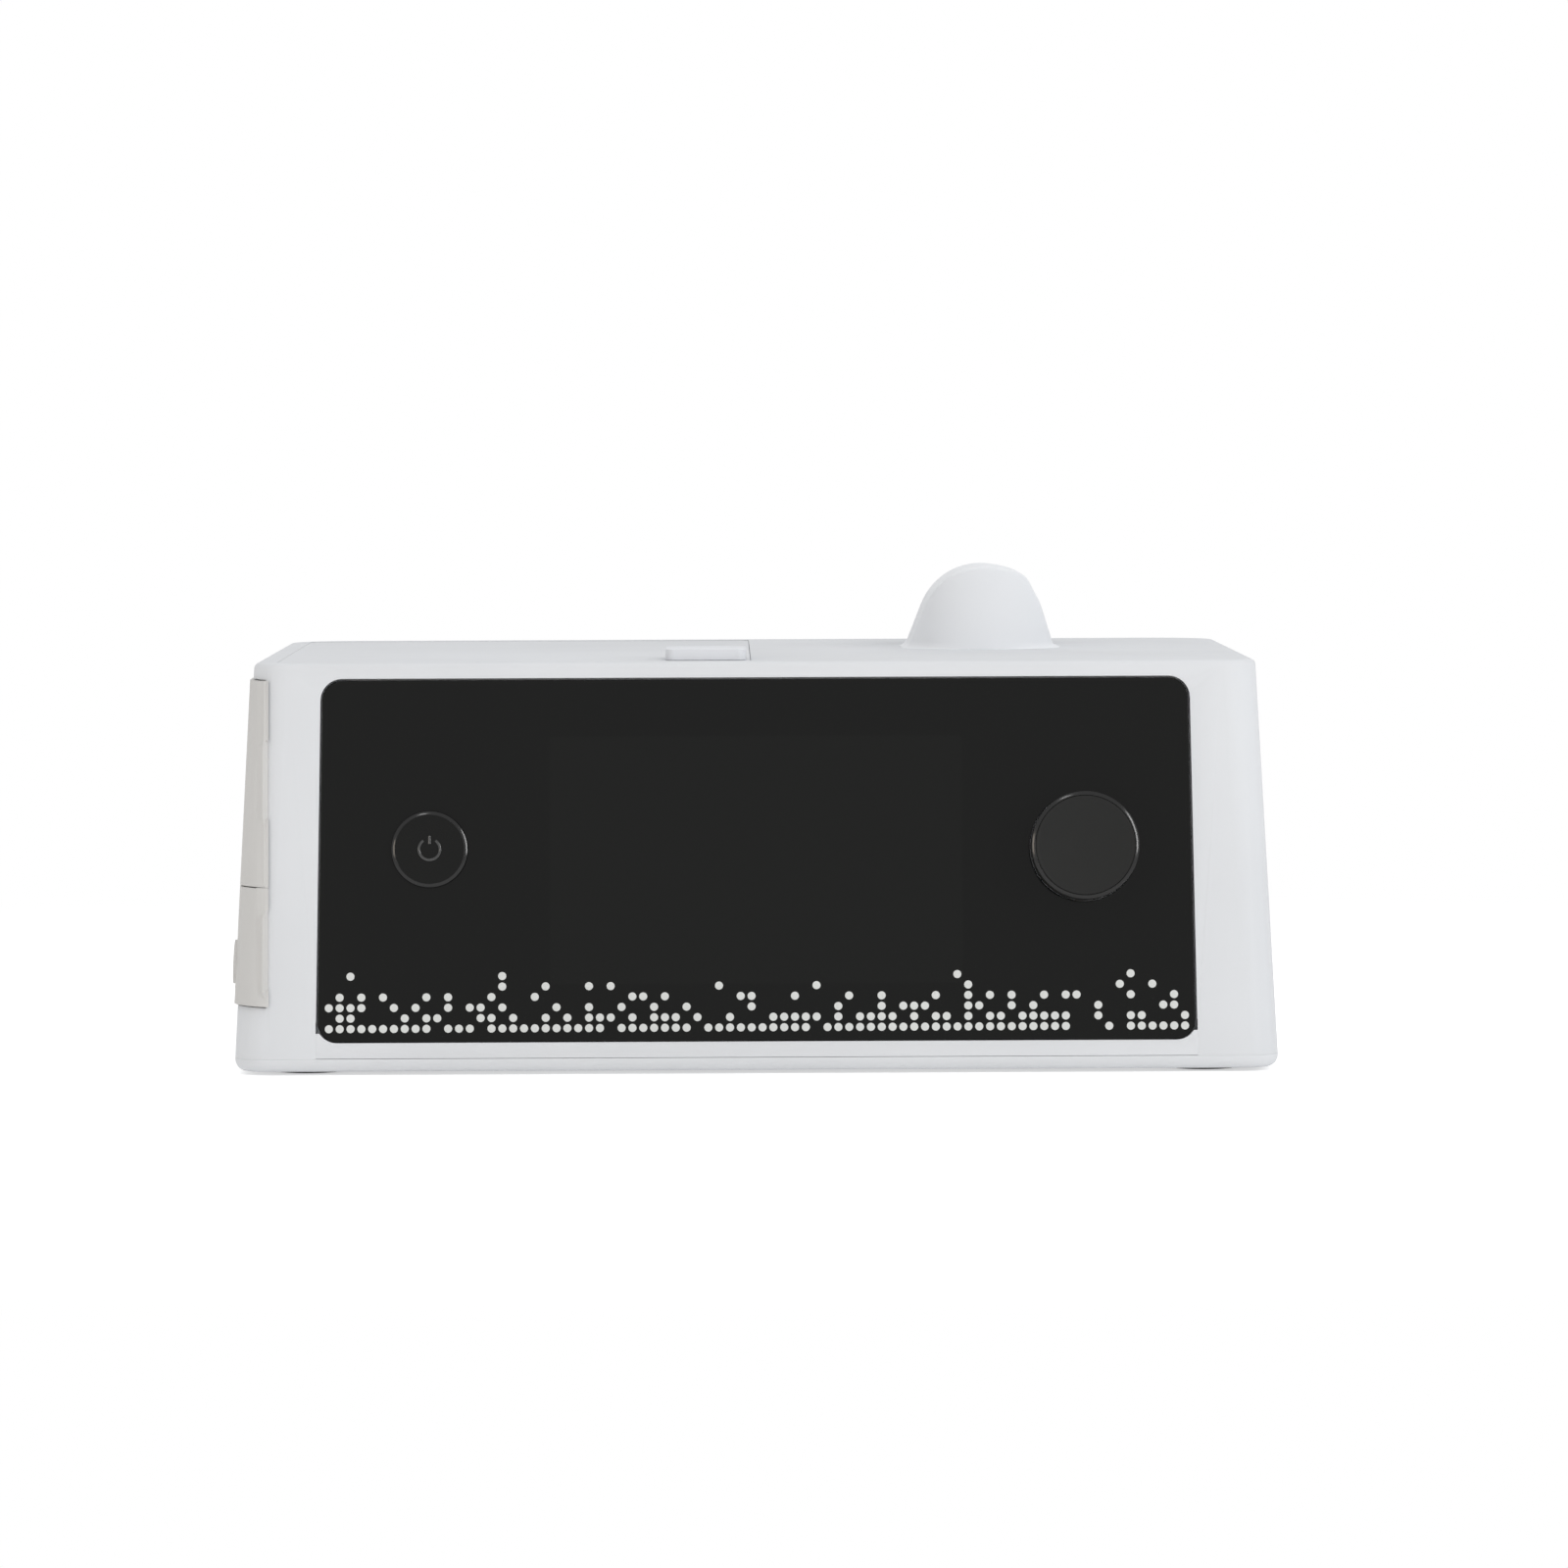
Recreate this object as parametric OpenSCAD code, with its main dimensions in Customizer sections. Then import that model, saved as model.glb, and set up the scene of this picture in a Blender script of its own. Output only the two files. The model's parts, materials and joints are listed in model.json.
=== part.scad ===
// Bilevel PAP machine with a built-in humidifier, in millimetres.
// X runs to the right as seen from the front, -Y towards the user, Z up from the table.

/* [Case] */
// Width of the case along the table
case_w = 237.4; // [232:0.2:244]
// Depth of the case along the table
case_d = 190; // [186:1:200]
// Height of the case from the table to its flat top
case_h = 93.2; // [92.2:0.2:98]
// Inward travel of each side wall per unit of height
side_lean = 0.05; // [0.04:0.01:0.06]
// Backward travel of the front per unit of height
front_lean = 0.1; // [0.08:0.01:0.11]
// Forward travel of the rear wall per unit of height
rear_lean = 0.03; // [0.02:0.01:0.04]
// Radius of the two upright front corners
front_r = 8; // [7:0.5:10]
// Radius of the two upright rear corners
rear_r = 16; // [12:1:18]
// Rounding of the bottom edge
edge_r = 2.6; // [2:0.1:3]
// Rounding of the top edge
top_edge_r = 1.4; // [1:0.1:2]
// Thickness of the case walls
wall = 2.5; // [2.2:0.1:2.8]
// Height of the parting line between the base tray and the housing
part_z = 3.8; // [3.6:0.1:4.2]
// Height of the tray's underside above the table
tray_z = 0.8; // [0.6:0.1:1]

/* [Front panel] */
// Half width of the black lens at its lower edge
lens_low = 99.5; // [97:0.5:100]
// Half width of the black lens at its upper edge
lens_high = 98.2; // [96:0.2:98.6]
// Lower edge of the lens, measured up the front face
lens_s0 = 7.6; // [7.4:0.1:8]
// Upper edge of the lens, measured up the front face
lens_s1 = 89.7; // [88.2:0.3:89.7]
// Radius of the lens corners
lens_r = 4.5; // [4:0.5:6]
// Thickness of the lens
lens_t = 2; // [1.8:0.1:2.2]
// Width of the screen's lit area
screen_w = 93.6; // [90:0.2:95]
// Height of the screen's lit area
screen_h = 56.2; // [54:0.2:58]
// Middle of the screen, measured up the front face
screen_s = 48.7; // [47.2:0.5:50.2]
// Diameter of the turning knob
knob_d = 24.5; // [23:0.5:26]
// How far the knob stands out of the front
knob_out = 8.5; // [8:0.5:10]
// Sideways place of the knob
knob_x = 74.4; // [72:0.2:76]
// Diameter of the power button
button_d = 17.3; // [16:0.1:19]
// Sideways place of the power button
button_x = -74; // [-76:0.5:-72]
// Middle of the knob and the button, measured up the front face
control_s = 51.3; // [49.2:0.2:53.2]
// Travel of the knob when it is pushed
knob_push = 0.8; // [0.5:0.1:0.9]
// Travel of the power button
button_push = 0.6; // [0.4:0.1:0.7]

/* [Humidifier] */
// Right end of the humidifier lid
lid_x1 = -1.2; // [-3:0.2:0]
// Thickness of the lid's top skin
lid_t = 2.4; // [2:0.1:3]
// Length of the water chamber from front to back
chamber_l = 114; // [108:1:116]
// Width of the water chamber
chamber_w = 80; // [76:1:82]
// Height of the water chamber's tub
chamber_h = 44; // [40:1:46]
// Wall of the water chamber
chamber_wall = 2; // [1.6:0.1:2.4]
// Diameter of the heater plate
heater_d = 70; // [64:1:72]

/* [Air path] */
// Outer diameter of the hose port
port_d = 22; // [21.8:0.1:22.2]
// Bore of the hose port
port_bore = 17; // [16:0.5:18]
// Length of the hose port behind the cowl
port_l = 24; // [22:1:27]
// Sideways place of the hose port
port_x = 54; // [52:0.5:56]
// Distance of the hose port's upright duct from the case's middle
duct_y = 24; // [23:0.5:25]
// Height of the cowl above the case's top
cowl_h = 19.8; // [19.7:0.1:20.8]
// Wall of the cowl
cowl_wall = 1.8; // [1.6:0.1:1.9]
// Outer radius of the blower
blower_r = 34; // [32:0.5:35]
// Height of the blower
blower_h = 38; // [36:0.5:38]
// Radius of the impeller
impeller_r = 24; // [21:0.5:25]
// Radius of the rotor shaft
rotor_r = 1.5; // [1.2:0.1:1.8]

/* [Left side] */
// How far the filter cover and the port door stand out of the side
flap_out = 0.8; // [0.6:0.1:0.9]
// Lower edge of the filter cover
cover_z0 = 42.9; // [42.9:0.1:43.4]
// Upper edge of the filter cover
cover_z1 = 89.4; // [87.2:0.2:89.6]
// Lower edge of the port door
door_z0 = 16; // [15:0.2:16.4]
// Upper edge of the port door
door_z1 = 42.6; // [41.2:0.1:42.6]
// Rear end of the filter cover and the port door
flap_y1 = 26; // [22:1:30]

/* [Hidden] */
$fn = 48;
hull_fn = 32;
gap = 0.3;
seam = 0.15;
run = 0.05;
over = 1;
white = [0.86, 0.87, 0.88];
grey = [0.55, 0.57, 0.6];
dark = [0.13, 0.13, 0.14];
board = [0.1, 0.35, 0.2];
metal = [0.7, 0.71, 0.73];
clear = [0.75, 0.85, 0.92, 0.5];
front_deg = atan(front_lean);
side_deg = atan(side_lean);
// Half width and the front and rear walls of the case at a height
function half_w(z) = case_w / 2 - side_lean * z;
function front_y(z) = -case_d / 2 + front_lean * z;
function rear_y(z) = case_d / 2 - rear_lean * z;
// Depths behind the front face
lens_back = -wall;
plate_t = 2.2;
plate_back = lens_back - plate_t;
board_t = 1.6;
board_front = plate_back - 3.9;
board_back = board_front - board_t;
board_w = 190;
board_s0 = 14;
board_s1 = 84;
lcd_w = screen_w + 11.8;
lcd_h = screen_h + 10.8;
lcd_t = 3;
plate_lip = 3;
plate_top_lip = 0.4;
// Knob and encoder
knob_skirt = lens_back + 1.2;
encoder_w = 12.5;
encoder_top = plate_back + 1.6;
cavity_w = 9.2;
cavity_z0 = board_front + 0.8;
cavity_z1 = encoder_top - 1;
bushing_r = 3.5;
bushing_top = 2.6;
shaft_r = 3;
shaft_end = knob_out - 1.6;
tip_r = 2;
sleeve_z1 = cavity_z1 - 0.2;
sleeve_z0 = cavity_z0 + knob_push + 0.2;
hub_r = 5.2;
knob_wall = 2.6;
// Power button and its switch
flange_t = 0.9;
flange_grow = 1.3;
button_face = 0.6;
flange_z1 = lens_back - 0.2;
flange_z0 = flange_z1 - flange_t;
switch_w = 6.2;
switch_top = board_front + 3.2;
stem_r = 1.75;
stem_top = switch_top + 0.9;
post_r = 2;
// Lid and its hinge
top_z = case_h;
lid_seam = 0.3;
lid_deck = 7;
lid_x0 = -half_w(case_h) + 5.5;
lid_y0 = front_y(case_h) + 5;
hinge_y = rear_y(case_h) - 12;
hinge_r = 3.5;
hinge_z = top_z - hinge_r;
hinge_pin_r = 1.5;
hinge_gap = 1;
lid_y1 = hinge_y;
lid_rim = 8;
latch_w = 14;
latch_l = 22;
latch_travel = 3;
latch_x1 = lid_x1 - 3;
latch_y0 = lid_y0 + 5;
latch_deep = 3.8;
latch_head_w = 18.4;
latch_head_h = 2.4;
latch_floor = top_z - latch_deep - 1.6;
// Humidifier bay, from the chamber outwards
bay_wall = 2;
bay_gap = 1.5;
bay_x1 = lid_x1 - lid_rim + 3;
bay_x0 = bay_x1 - chamber_w - 2 * (bay_wall + bay_gap);
bay_y0 = -64;
bay_y1 = bay_y0 + chamber_l + 2 * (bay_wall + bay_gap);
bay_xm = (bay_x0 + bay_x1) / 2;
bay_ym = (bay_y0 + bay_y1) / 2;
bay_z0 = 9;
bay_z1 = top_z - lid_deck - 1.2;
heater_t = 3;
heater_z0 = bay_z0;
heater_z1 = heater_z0 + heater_t;
plate_thin = 1;
chamber_z0 = heater_z1;
chamber_z1 = chamber_z0 + chamber_h;
seal_t = 1.6;
cover_t = 2;
dome_h = 22;
dome_z0 = chamber_z1 + seal_t;
dome_z1 = dome_z0 + dome_h;
flange_w = 3;
// Ports between the bay and the ducts
link_z = dome_z0 + 12;
link_r = 9;
link_bore = 7.5;
link_ring = 2;
// Blower, on soft mounts over the tray
blower_x = port_x;
blower_y = 12;
floor_z = tray_z + 2.4;
post_top = 8;
mount_h = 4;
blower_z0 = post_top + mount_h;
blower_zm = blower_z0 + blower_h / 2;
blower_z1 = blower_z0 + blower_h;
volute_wall = 2;
mount_ring = blower_r - 6;
mount_rr = 4.5;
motor_r = 14;
motor_z0 = blower_z0 + volute_wall;
motor_z1 = blower_zm - 2;
bearing_r = 4;
bearing_t = 3;
impeller_z0 = blower_zm + 1.5;
impeller_h = 11;
eye_r = 11;
blades = 11;
spigot_r = 9;
spigot_bore = 7.5;
spigot_z = blower_zm + spigot_r + 0.2;
elbow_x = 4.5;
duct_r = 9.5;
duct_bore = 8;
blow_y = blower_y - blower_r + spigot_r + 1;
// Cowl, hose port and the trough behind it
port_r = port_d / 2;
port_z = top_z + cowl_h - cowl_wall - port_r - gap;
cowl_y0 = -1.5;
cowl_half = 17.6;
cowl_crown = 14.8;
cowl_open = port_r + gap;
cowl_y1 = duct_y + port_r + 5;
foot_t = 1;
trough_r = port_r + 3.6;
port_y0 = cowl_y1 + 0.2;
port_y1 = port_y0 + port_l;
neck_r = port_r - 0.3;
socket_out = 2.4;
// Flaps on the left side
flap_in = 0.8;
knuckle_r = flap_out + 1.1;
axis_in = knuckle_r - flap_out;
knuckle_gap = 0.4;
flap_pin_r = 0.8;
pin_grip = 3;
flap_axis_y = flap_y1 - knuckle_r;
flap_rod_z0 = door_z0 - gap - pin_grip;
flap_rod_z1 = cover_z1 + gap + 1.2;
flap_wrap = 7.3;
flap_edge_x = -case_w / 2 + flap_wrap;
flap_lip = 0.6;
notch_depth = 1.8;
recess = flap_in + gap;
notch_z0 = 58;
notch_z1 = 75.6;
scoop_z0 = 19.4;
scoop_z1 = 37.6;
grip_z = 25.2;
box_y0 = -40;
box_y1 = 16;
box_z0 = 48;
box_z1 = 82;
box_deep = 15;
box_wall = 1.6;
filter_t = 8;
// Sockets behind the port door
socket_y0 = -42;
socket_y1 = 6;
socket_z0 = 17;
socket_z1 = 39;
socket_in = 9;
card_y = -26;
usb_y = -6;
// Rear wiring
main_y = case_d / 2 - 23;
main_x1 = case_w / 2 - 14.7;
main_x0 = main_x1 - 78;
main_z0 = 9;
main_z1 = 78;
dc_x = main_x1 - 18;
service_x = main_x1 - 42;
dc_block = 14;
rear_z = 24;
dc_r = 5.5;
service_r = 6.5;
// Screws and feet
screw_x = case_w / 2 - 12.7;
screw_y = case_d / 2 - 37;
rear_screw_y = case_d / 2 - 35;
screw_xy = [[-screw_x, -screw_y], [screw_x, -screw_y], [2 - screw_x, rear_screw_y], [screw_x, rear_screw_y]];
foot_x = case_w / 2 - 16.7;
foot_y = case_d / 2 - 16;
foot_r = 8;
foot_h = 2.2;
boss_r = 4;
boss_z = 7.8;
boss_top = 24;
screw_r = 1.25;
head_r = 2.8;
head_z = 4.6;
// Speaker
speaker_x = case_w / 2 - 26.7;
speaker_y = -case_d / 2 + 51;
speaker_r = 13;
speaker_t = 5;

// One rounded corner ring of the case, with an edge of radius edge, grown or shrunk by g
module corner_ring(x, y, z, r, edge, g) {
  e = max(0.4, edge + g);
  translate([x, y, z])
    rotate_extrude($fn = hull_fn)
      translate([r + g - e, 0])
        circle(e, $fn = 24);
}

// The case as one solid block, grown by g on every side
module shell(g = 0) {
  hull()
    for (end = [[tray_z + edge_r, edge_r], [case_h - top_edge_r, top_edge_r]], sx = [-1, 1]) {
      z = end[0];
      corner_ring(sx * (half_w(z) - front_r), front_y(z) + front_r, z, front_r, end[1], g);
      corner_ring(sx * (half_w(z) - rear_r), rear_y(z) - rear_r, z, rear_r, end[1], g);
    }
}

// Places children on the front face: X across, Y up the face, Z out of it
module on_front(x = 0, s = 0, z = 0) {
  translate([0, -case_d / 2, 0])
    rotate([90 - front_deg, 0, 0])
      translate([x, s, z])
        children();
}

// Places children on the left wall: X into the case, Y back, Z up the wall
module on_left() {
  translate([-case_w / 2, 0, 0])
    rotate([0, side_deg, 0])
      children();
}

function arc(cx, cy, r, a0, a1, n = 8) =
  [for (i = [0:n]) [cx + r * cos(a0 + (a1 - a0) * i / n), cy + r * sin(a0 + (a1 - a0) * i / n)]];

// Right half of the lens outline, from the bottom middle to the top middle, grown by g
function lens_half(g) =
  let (s0 = lens_s0 - g, s1 = lens_s1 + g, r = lens_r + g)
  let (t = (lens_low - lens_high) / (lens_s1 - lens_s0), a = atan(t))
  let (edge = lens_low + g / cos(a) + t * g)
  let (c0 = edge - t * r - r / cos(a), c1 = edge - t * (s1 - s0 - r) - r / cos(a))
  concat(arc(c0, s0 + r, r, -90, a), arc(c1, s1 - r, r, a, 90));

module lens_outline(g = 0) {
  half = lens_half(g);
  last = len(half) - 1;
  polygon(concat(half, [for (i = [last:-1:0]) [-half[i][0], half[i][1]]]));
}

// The front opening of the housing: the lens outline carried down to the parting line
module opening_outline(g = 0) {
  s0 = part_z / cos(front_deg);
  union() {
    lens_outline(g);
    translate([-lens_low - g, s0 - g])
      square([2 * (lens_low + g), lens_s0 + lens_r - s0 + g]);
  }
}

module rounded_box(x0, x1, y0, y1, z0, z1, r) {
  translate([0, 0, z0])
    linear_extrude(z1 - z0)
      polygon(concat(
        arc(x1 - r, y0 + r, r, -90, 0), arc(x1 - r, y1 - r, r, 0, 90),
        arc(x0 + r, y1 - r, r, 90, 180), arc(x0 + r, y0 + r, r, 180, 270)));
}

module base_tray() {
  color(white)
    difference() {
      union() {
        difference() {
          shell();
          translate([-case_w, -case_d, part_z])
            cube([2 * case_w, 2 * case_d, case_h]);
          intersection() {
            shell(-wall);
            translate([-case_w, -case_d, floor_z])
              cube([2 * case_w, 2 * case_d, case_h]);
          }
        }
        for (p = screw_xy)
          translate([p[0], p[1], floor_z])
            cylinder(r = boss_r + 1.2, h = boss_z - floor_z);
        for (a = [45:90:315])
          translate([blower_x + mount_ring * cos(a), blower_y + mount_ring * sin(a), floor_z])
            cylinder(r = mount_rr, h = post_top - floor_z);
        for (x = [bay_x0 + 8, bay_x1 - 8], y = [bay_y0 + 8, bay_y1 - 8])
          translate([x, y, floor_z])
            cylinder(r = mount_rr, h = bay_z0 - floor_z);
        // Cradle under the heater plate
        translate([bay_xm, bay_ym, floor_z])
          cylinder(r = heater_d / 4, h = heater_z0 - floor_z);
        // Lugs that carry the main board and the inlet duct
        for (x = [main_x0 + 6, main_x1 - 14])
          translate([x, main_y - 3, floor_z])
            cube([8, 3 + board_t + 2, main_z0 - floor_z]);
      }
      for (p = screw_xy)
        translate([p[0], p[1], 0]) {
          cylinder(r = head_r + gap, h = head_z);
          cylinder(r = screw_r + 0.45, h = boss_z + over);
        }
      for (sx = [-1, 1], sy = [-1, 1])
        translate([sx * foot_x, sy * foot_y, 0])
          cylinder(r = foot_r, h = foot_h);
      for (i = [-3:3])
        translate([speaker_x - 6, speaker_y + 3 * i - 0.6, 0])
          cube([12, 1.2, floor_z + over]);
    }
}

// Space taken from the case wall for both side flaps and their knuckles
module flap_recess() {
  z0 = door_z0;
  z1 = cover_z1;
  intersection() {
    difference() {
      translate([-case_w, -case_d, 0])
        cube([case_w + flap_edge_x + gap, 2 * case_d, 2 * case_h]);
      shell(-recess);
    }
    on_left()
      translate([-3 * wall, -case_d, z0 - gap])
        cube([12 + 3 * wall, case_d + flap_axis_y, z1 - z0 + 2 * gap]);
  }
  on_left()
    translate([axis_in, flap_axis_y, z0 - gap])
      cylinder(r = knuckle_r + knuckle_gap, h = z1 - z0 + 2 * gap);
}

// Thickening of the wall that holds the hinge rod of both flaps
module flap_ears() {
  on_left()
    translate([wall - 1, flap_axis_y - 4, flap_rod_z0 - 1])
      cube([knuckle_r + 2, 8, flap_rod_z1 - flap_rod_z0 + 2]);
}

// A band of the case's left side and front corner: from depth g0 out to g1, up to x1 in front
module side_skin(g0, g1, z0, z1, x1) {
  intersection() {
    difference() {
      shell(g1);
      shell(g0);
    }
    on_left()
      translate([-3 * wall, -case_d, z0])
        cube([12 + 3 * wall, case_d + flap_axis_y, z1 - z0]);
    translate([-case_w, -case_d, 0])
      cube([case_w + x1, 2 * case_d, 2 * case_h]);
  }
}

// A flap on the rod, with a lip over the joint in front of it and a finger notch in that edge
module side_flap(z0, z1, notch0, notch1) {
  difference() {
    union() {
      difference() {
        union() {
          side_skin(-flap_in, flap_out, z0, z1, flap_edge_x);
          side_skin(gap, flap_out, z0, z1, flap_edge_x + gap + flap_lip);
        }
        difference() {
          translate([flap_edge_x - notch_depth, -case_d, notch0])
            cube([6, case_d, notch1 - notch0]);
          shell();
        }
      }
      on_left()
        translate([axis_in, flap_axis_y, z0])
          cylinder(r = knuckle_r - 0.01, h = z1 - z0);
    }
    on_left()
      translate([axis_in, flap_axis_y, z0 - over])
        cylinder(r = flap_pin_r + run, h = z1 - z0 + 2 * over);
  }
}

module main_housing() {
  color(white)
    difference() {
      union() {
        difference() {
          shell();
          intersection() {
            shell(-wall);
            translate([-case_w, -case_d, -over])
              cube([2 * case_w, 2 * case_d, 3 * case_h]);
          }
        }
        // Skin of the trough under the hose
        intersection() {
          translate([port_x, cowl_y1 - 3, port_z])
            rotate([-90, 0, 0])
              cylinder(r = trough_r + wall, h = rear_y(case_h) - cowl_y1 + 1.5);
          translate([port_x - 30, cowl_y1 - 3, case_h / 2])
            cube([60, 60, case_h / 2 - 0.5]);
        }
        // Hinge block behind the lid
        translate([lid_x0 + 12, hinge_y - 5.6, hinge_z - 7])
          cube([lid_x1 - lid_x0 - 20, rear_y(case_h) - hinge_y + 4, 7]);
        for (p = screw_xy) {
          s = sign(p[0]);
          translate([p[0], p[1], boss_z])
            cylinder(r = boss_r, h = boss_top - boss_z);
          translate([min(p[0], s * (half_w(boss_top) - wall / 2)), p[1] - 1, boss_z])
            cube([abs(half_w(boss_top) - wall / 2 - abs(p[0])), 2, boss_top - boss_z]);
        }
        flap_ears();
      }
      translate([-case_w, -case_d, -case_h + part_z])
        cube([2 * case_w, 2 * case_d, case_h]);
      for (p = screw_xy)
        translate([p[0], p[1], boss_z - over])
          cylinder(r = screw_r + run, h = 12 + over);
      // Front opening
      on_front(0, 0, -3 * wall)
        linear_extrude(4 * wall)
          opening_outline(0.4);
      // Lid opening, with the notch for the hinge
      rounded_box(lid_x0 - lid_seam, lid_x1 + lid_seam, lid_y0 - lid_seam,
        hinge_y, hinge_z - hinge_r, top_z + over, 4);
      translate([lid_x0 - lid_seam, hinge_y - 8, hinge_z - hinge_r])
        cube([lid_x1 - lid_x0 + 2 * lid_seam, 8, 2 * case_h]);
      translate([lid_x0 - lid_seam, hinge_y, hinge_z])
        rotate([0, 90, 0])
          cylinder(r = hinge_r + hinge_gap, h = lid_x1 - lid_x0 + 2 * lid_seam);
      translate([lid_x0 - lid_seam, hinge_y - over, hinge_z])
        cube([lid_x1 - lid_x0 + 2 * lid_seam, over + hinge_r + hinge_gap, case_h]);
      translate([lid_x0 - lid_seam - 4, hinge_y, hinge_z])
        rotate([0, 90, 0])
          cylinder(r = hinge_pin_r + 0.02, h = lid_x1 - lid_x0 + 2 * lid_seam + 8);
      // Trough and the hole under the cowl
      translate([port_x, cowl_y1 - 0.5, port_z])
        rotate([-90, 0, 0])
          cylinder(r = trough_r, h = case_d);
      translate([port_x, duct_y, case_h - 3 * wall])
        cylinder(r = port_r + 0.6, h = 4 * wall);
      translate([port_x, duct_y, port_z])
        rotate([-90, 0, 0])
          cylinder(r = port_r + 0.6, h = case_d);
      // Rear sockets
      for (p = [[dc_x, dc_r], [service_x, service_r]])
        translate([p[0], rear_y(rear_z) - 3 * wall, rear_z])
          rotate([-90, 0, 0])
            cylinder(r = p[1] + gap, h = 6 * wall);
      // Side flaps and what is behind them
      flap_recess();
      on_left()
        translate([axis_in, flap_axis_y, flap_rod_z0])
          cylinder(r = flap_pin_r + 0.02, h = flap_rod_z1 - flap_rod_z0);
      on_left()
        translate([-wall, box_y0 + 1, box_z0 + 1])
          cube([3 * wall, box_y1 - box_y0 - 2, box_z1 - box_z0 - 2]);
      on_left()
        translate([-wall, socket_y0, socket_z0])
          cube([3 * wall, socket_y1 - socket_y0, socket_z1 - socket_z0]);
    }
}

module front_fascia() {
  strip_s1 = lens_s0 + 1.6;
  color(white)
    difference() {
      union() {
        on_front(0, 0, plate_back)
          linear_extrude(plate_t - 0.02)
            intersection() {
              opening_outline(plate_lip);
              translate([-2 * lens_low, (part_z + seam) / cos(front_deg) + plate_t * front_lean])
                square([4 * lens_low, lens_s1 + plate_top_lip - part_z]);
            }
        on_front(0, 0, lens_back - 0.02)
          linear_extrude(wall + 0.02)
            difference() {
              intersection() {
                opening_outline(0.4 - seam);
                translate([-2 * lens_low, (part_z + seam) / cos(front_deg) + wall * front_lean])
                  square([4 * lens_low, strip_s1 - part_z]);
              }
              lens_outline(seam);
            }
        for (p = board_holes())
          on_front(p[0], p[1], board_front)
            cylinder(r = 3, h = plate_back - board_front + 0.5);
      }
      on_front(0, screen_s, plate_back - over)
        linear_extrude(plate_t + 2 * over)
          square([lcd_w + 2 * gap, lcd_h + 2 * gap], center = true);
      on_front(knob_x, control_s, plate_back - over)
        cylinder(r = encoder_w / sqrt(2) + gap, h = plate_t + 2 * over);
      on_front(button_x, control_s, plate_back - over)
        cylinder(r = button_d / 2 + flange_grow + 0.5, h = plate_t + 2 * over);
      for (p = board_holes())
        on_front(p[0], p[1], board_front - over)
          cylinder(r = 1 + run, h = 4.5);
    }
}

function board_holes() =
  [for (x = [-board_w / 2 + 5, board_w / 2 - 5], s = [board_s0 + 5, board_s1 - 5]) [x, s]];

module rubber_feet() {
  color(dark)
    for (sx = [-1, 1], sy = [-1, 1])
      translate([sx * foot_x, sy * foot_y, 0])
        cylinder(r = foot_r - 0.1, h = foot_h);
}

module case_screws() {
  color(metal)
    for (p = screw_xy)
      translate([p[0], p[1], 0])
        difference() {
          union() {
            translate([0, 0, head_z - 2])
              cylinder(r = head_r, h = 2);
            translate([0, 0, head_z - 0.5])
              cylinder(r = screw_r, h = 13);
          }
          translate([0, 0, head_z - 3])
            cylinder(r = 1.3, h = 2.2, $fn = 6);
        }
}

module front_lens() {
  color(dark)
    on_front(0, 0, lens_back)
      difference() {
        linear_extrude(lens_t)
          lens_outline();
        translate([knob_x, control_s, -over])
          cylinder(r = knob_d / 2 + 0.4, h = lens_t + 2 * over);
        translate([button_x, control_s, -over])
          cylinder(r = button_d / 2 + gap, h = lens_t + 2 * over);
      }
}

module lcd_module() {
  color(grey)
    on_front(-lcd_w / 2, screen_s - lcd_h / 2, lens_back - lcd_t)
      cube([lcd_w, lcd_h, lcd_t]);
}

module display_board() {
  color(board)
    on_front(0, 0, board_back)
      difference() {
        translate([-board_w / 2, board_s0, 0])
          cube([board_w, board_s1 - board_s0, board_t]);
        for (p = board_holes())
          translate([p[0], p[1], -over])
            cylinder(r = 1.3, h = board_t + 2 * over);
      }
}

module board_screws() {
  color(metal)
    for (p = board_holes())
      on_front(p[0], p[1], board_back) {
        translate([0, 0, -1.4])
          cylinder(r = 2, h = 1.4);
        translate([0, 0, -0.5])
          cylinder(r = 1, h = 5);
      }
}

module display_ribbon() {
  ribbon_x = main_x1 - 6;
  ribbon_w = 16;
  ribbon_z = (main_z0 + main_z1 - ribbon_w) / 2 + 4.5;
  y0 = front_y(ribbon_z);
  color(grey)
    difference() {
      translate([ribbon_x, y0, ribbon_z])
        cube([0.4, main_y - y0, ribbon_w]);
      on_front(0, 0, board_back)
        cube([case_w, case_h, 20]);
    }
}

module power_button() {
  color(dark)
    on_front(button_x, control_s, 0)
      union() {
        translate([0, 0, flange_z0])
          cylinder(r = button_d / 2, h = button_face - flange_z0);
        translate([0, 0, flange_z0])
          cylinder(r = button_d / 2 + flange_grow, h = flange_t);
        translate([0, 0, stem_top])
          cylinder(r = post_r, h = flange_z0 - stem_top + 0.1);
        translate([0, 0, button_face - 0.1])
          difference() {
            cylinder(r = 2.9, h = 0.3);
            translate([0, 0, -over])
              cylinder(r = 2.3, h = 3);
            translate([-0.8, 0, -over])
              cube([1.6, 4, 3]);
          }
        translate([-0.3, 0.9, button_face - 0.1])
          cube([0.6, 2.4, 0.3]);
      }
}

module switch_stem() {
  color(grey)
    on_front(button_x, control_s, switch_top - 1.6)
      cylinder(r = stem_r, h = stem_top - switch_top + 1.6);
}

module power_switch() {
  color(grey)
    on_front(button_x, control_s, board_front)
      difference() {
        translate([-switch_w / 2, -switch_w / 2, 0])
          cube([switch_w, switch_w, switch_top - board_front]);
        translate([0, 0, switch_top - board_front - 1.6 - button_push - 0.2])
          cylinder(r = stem_r + run, h = 4);
      }
}

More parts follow.
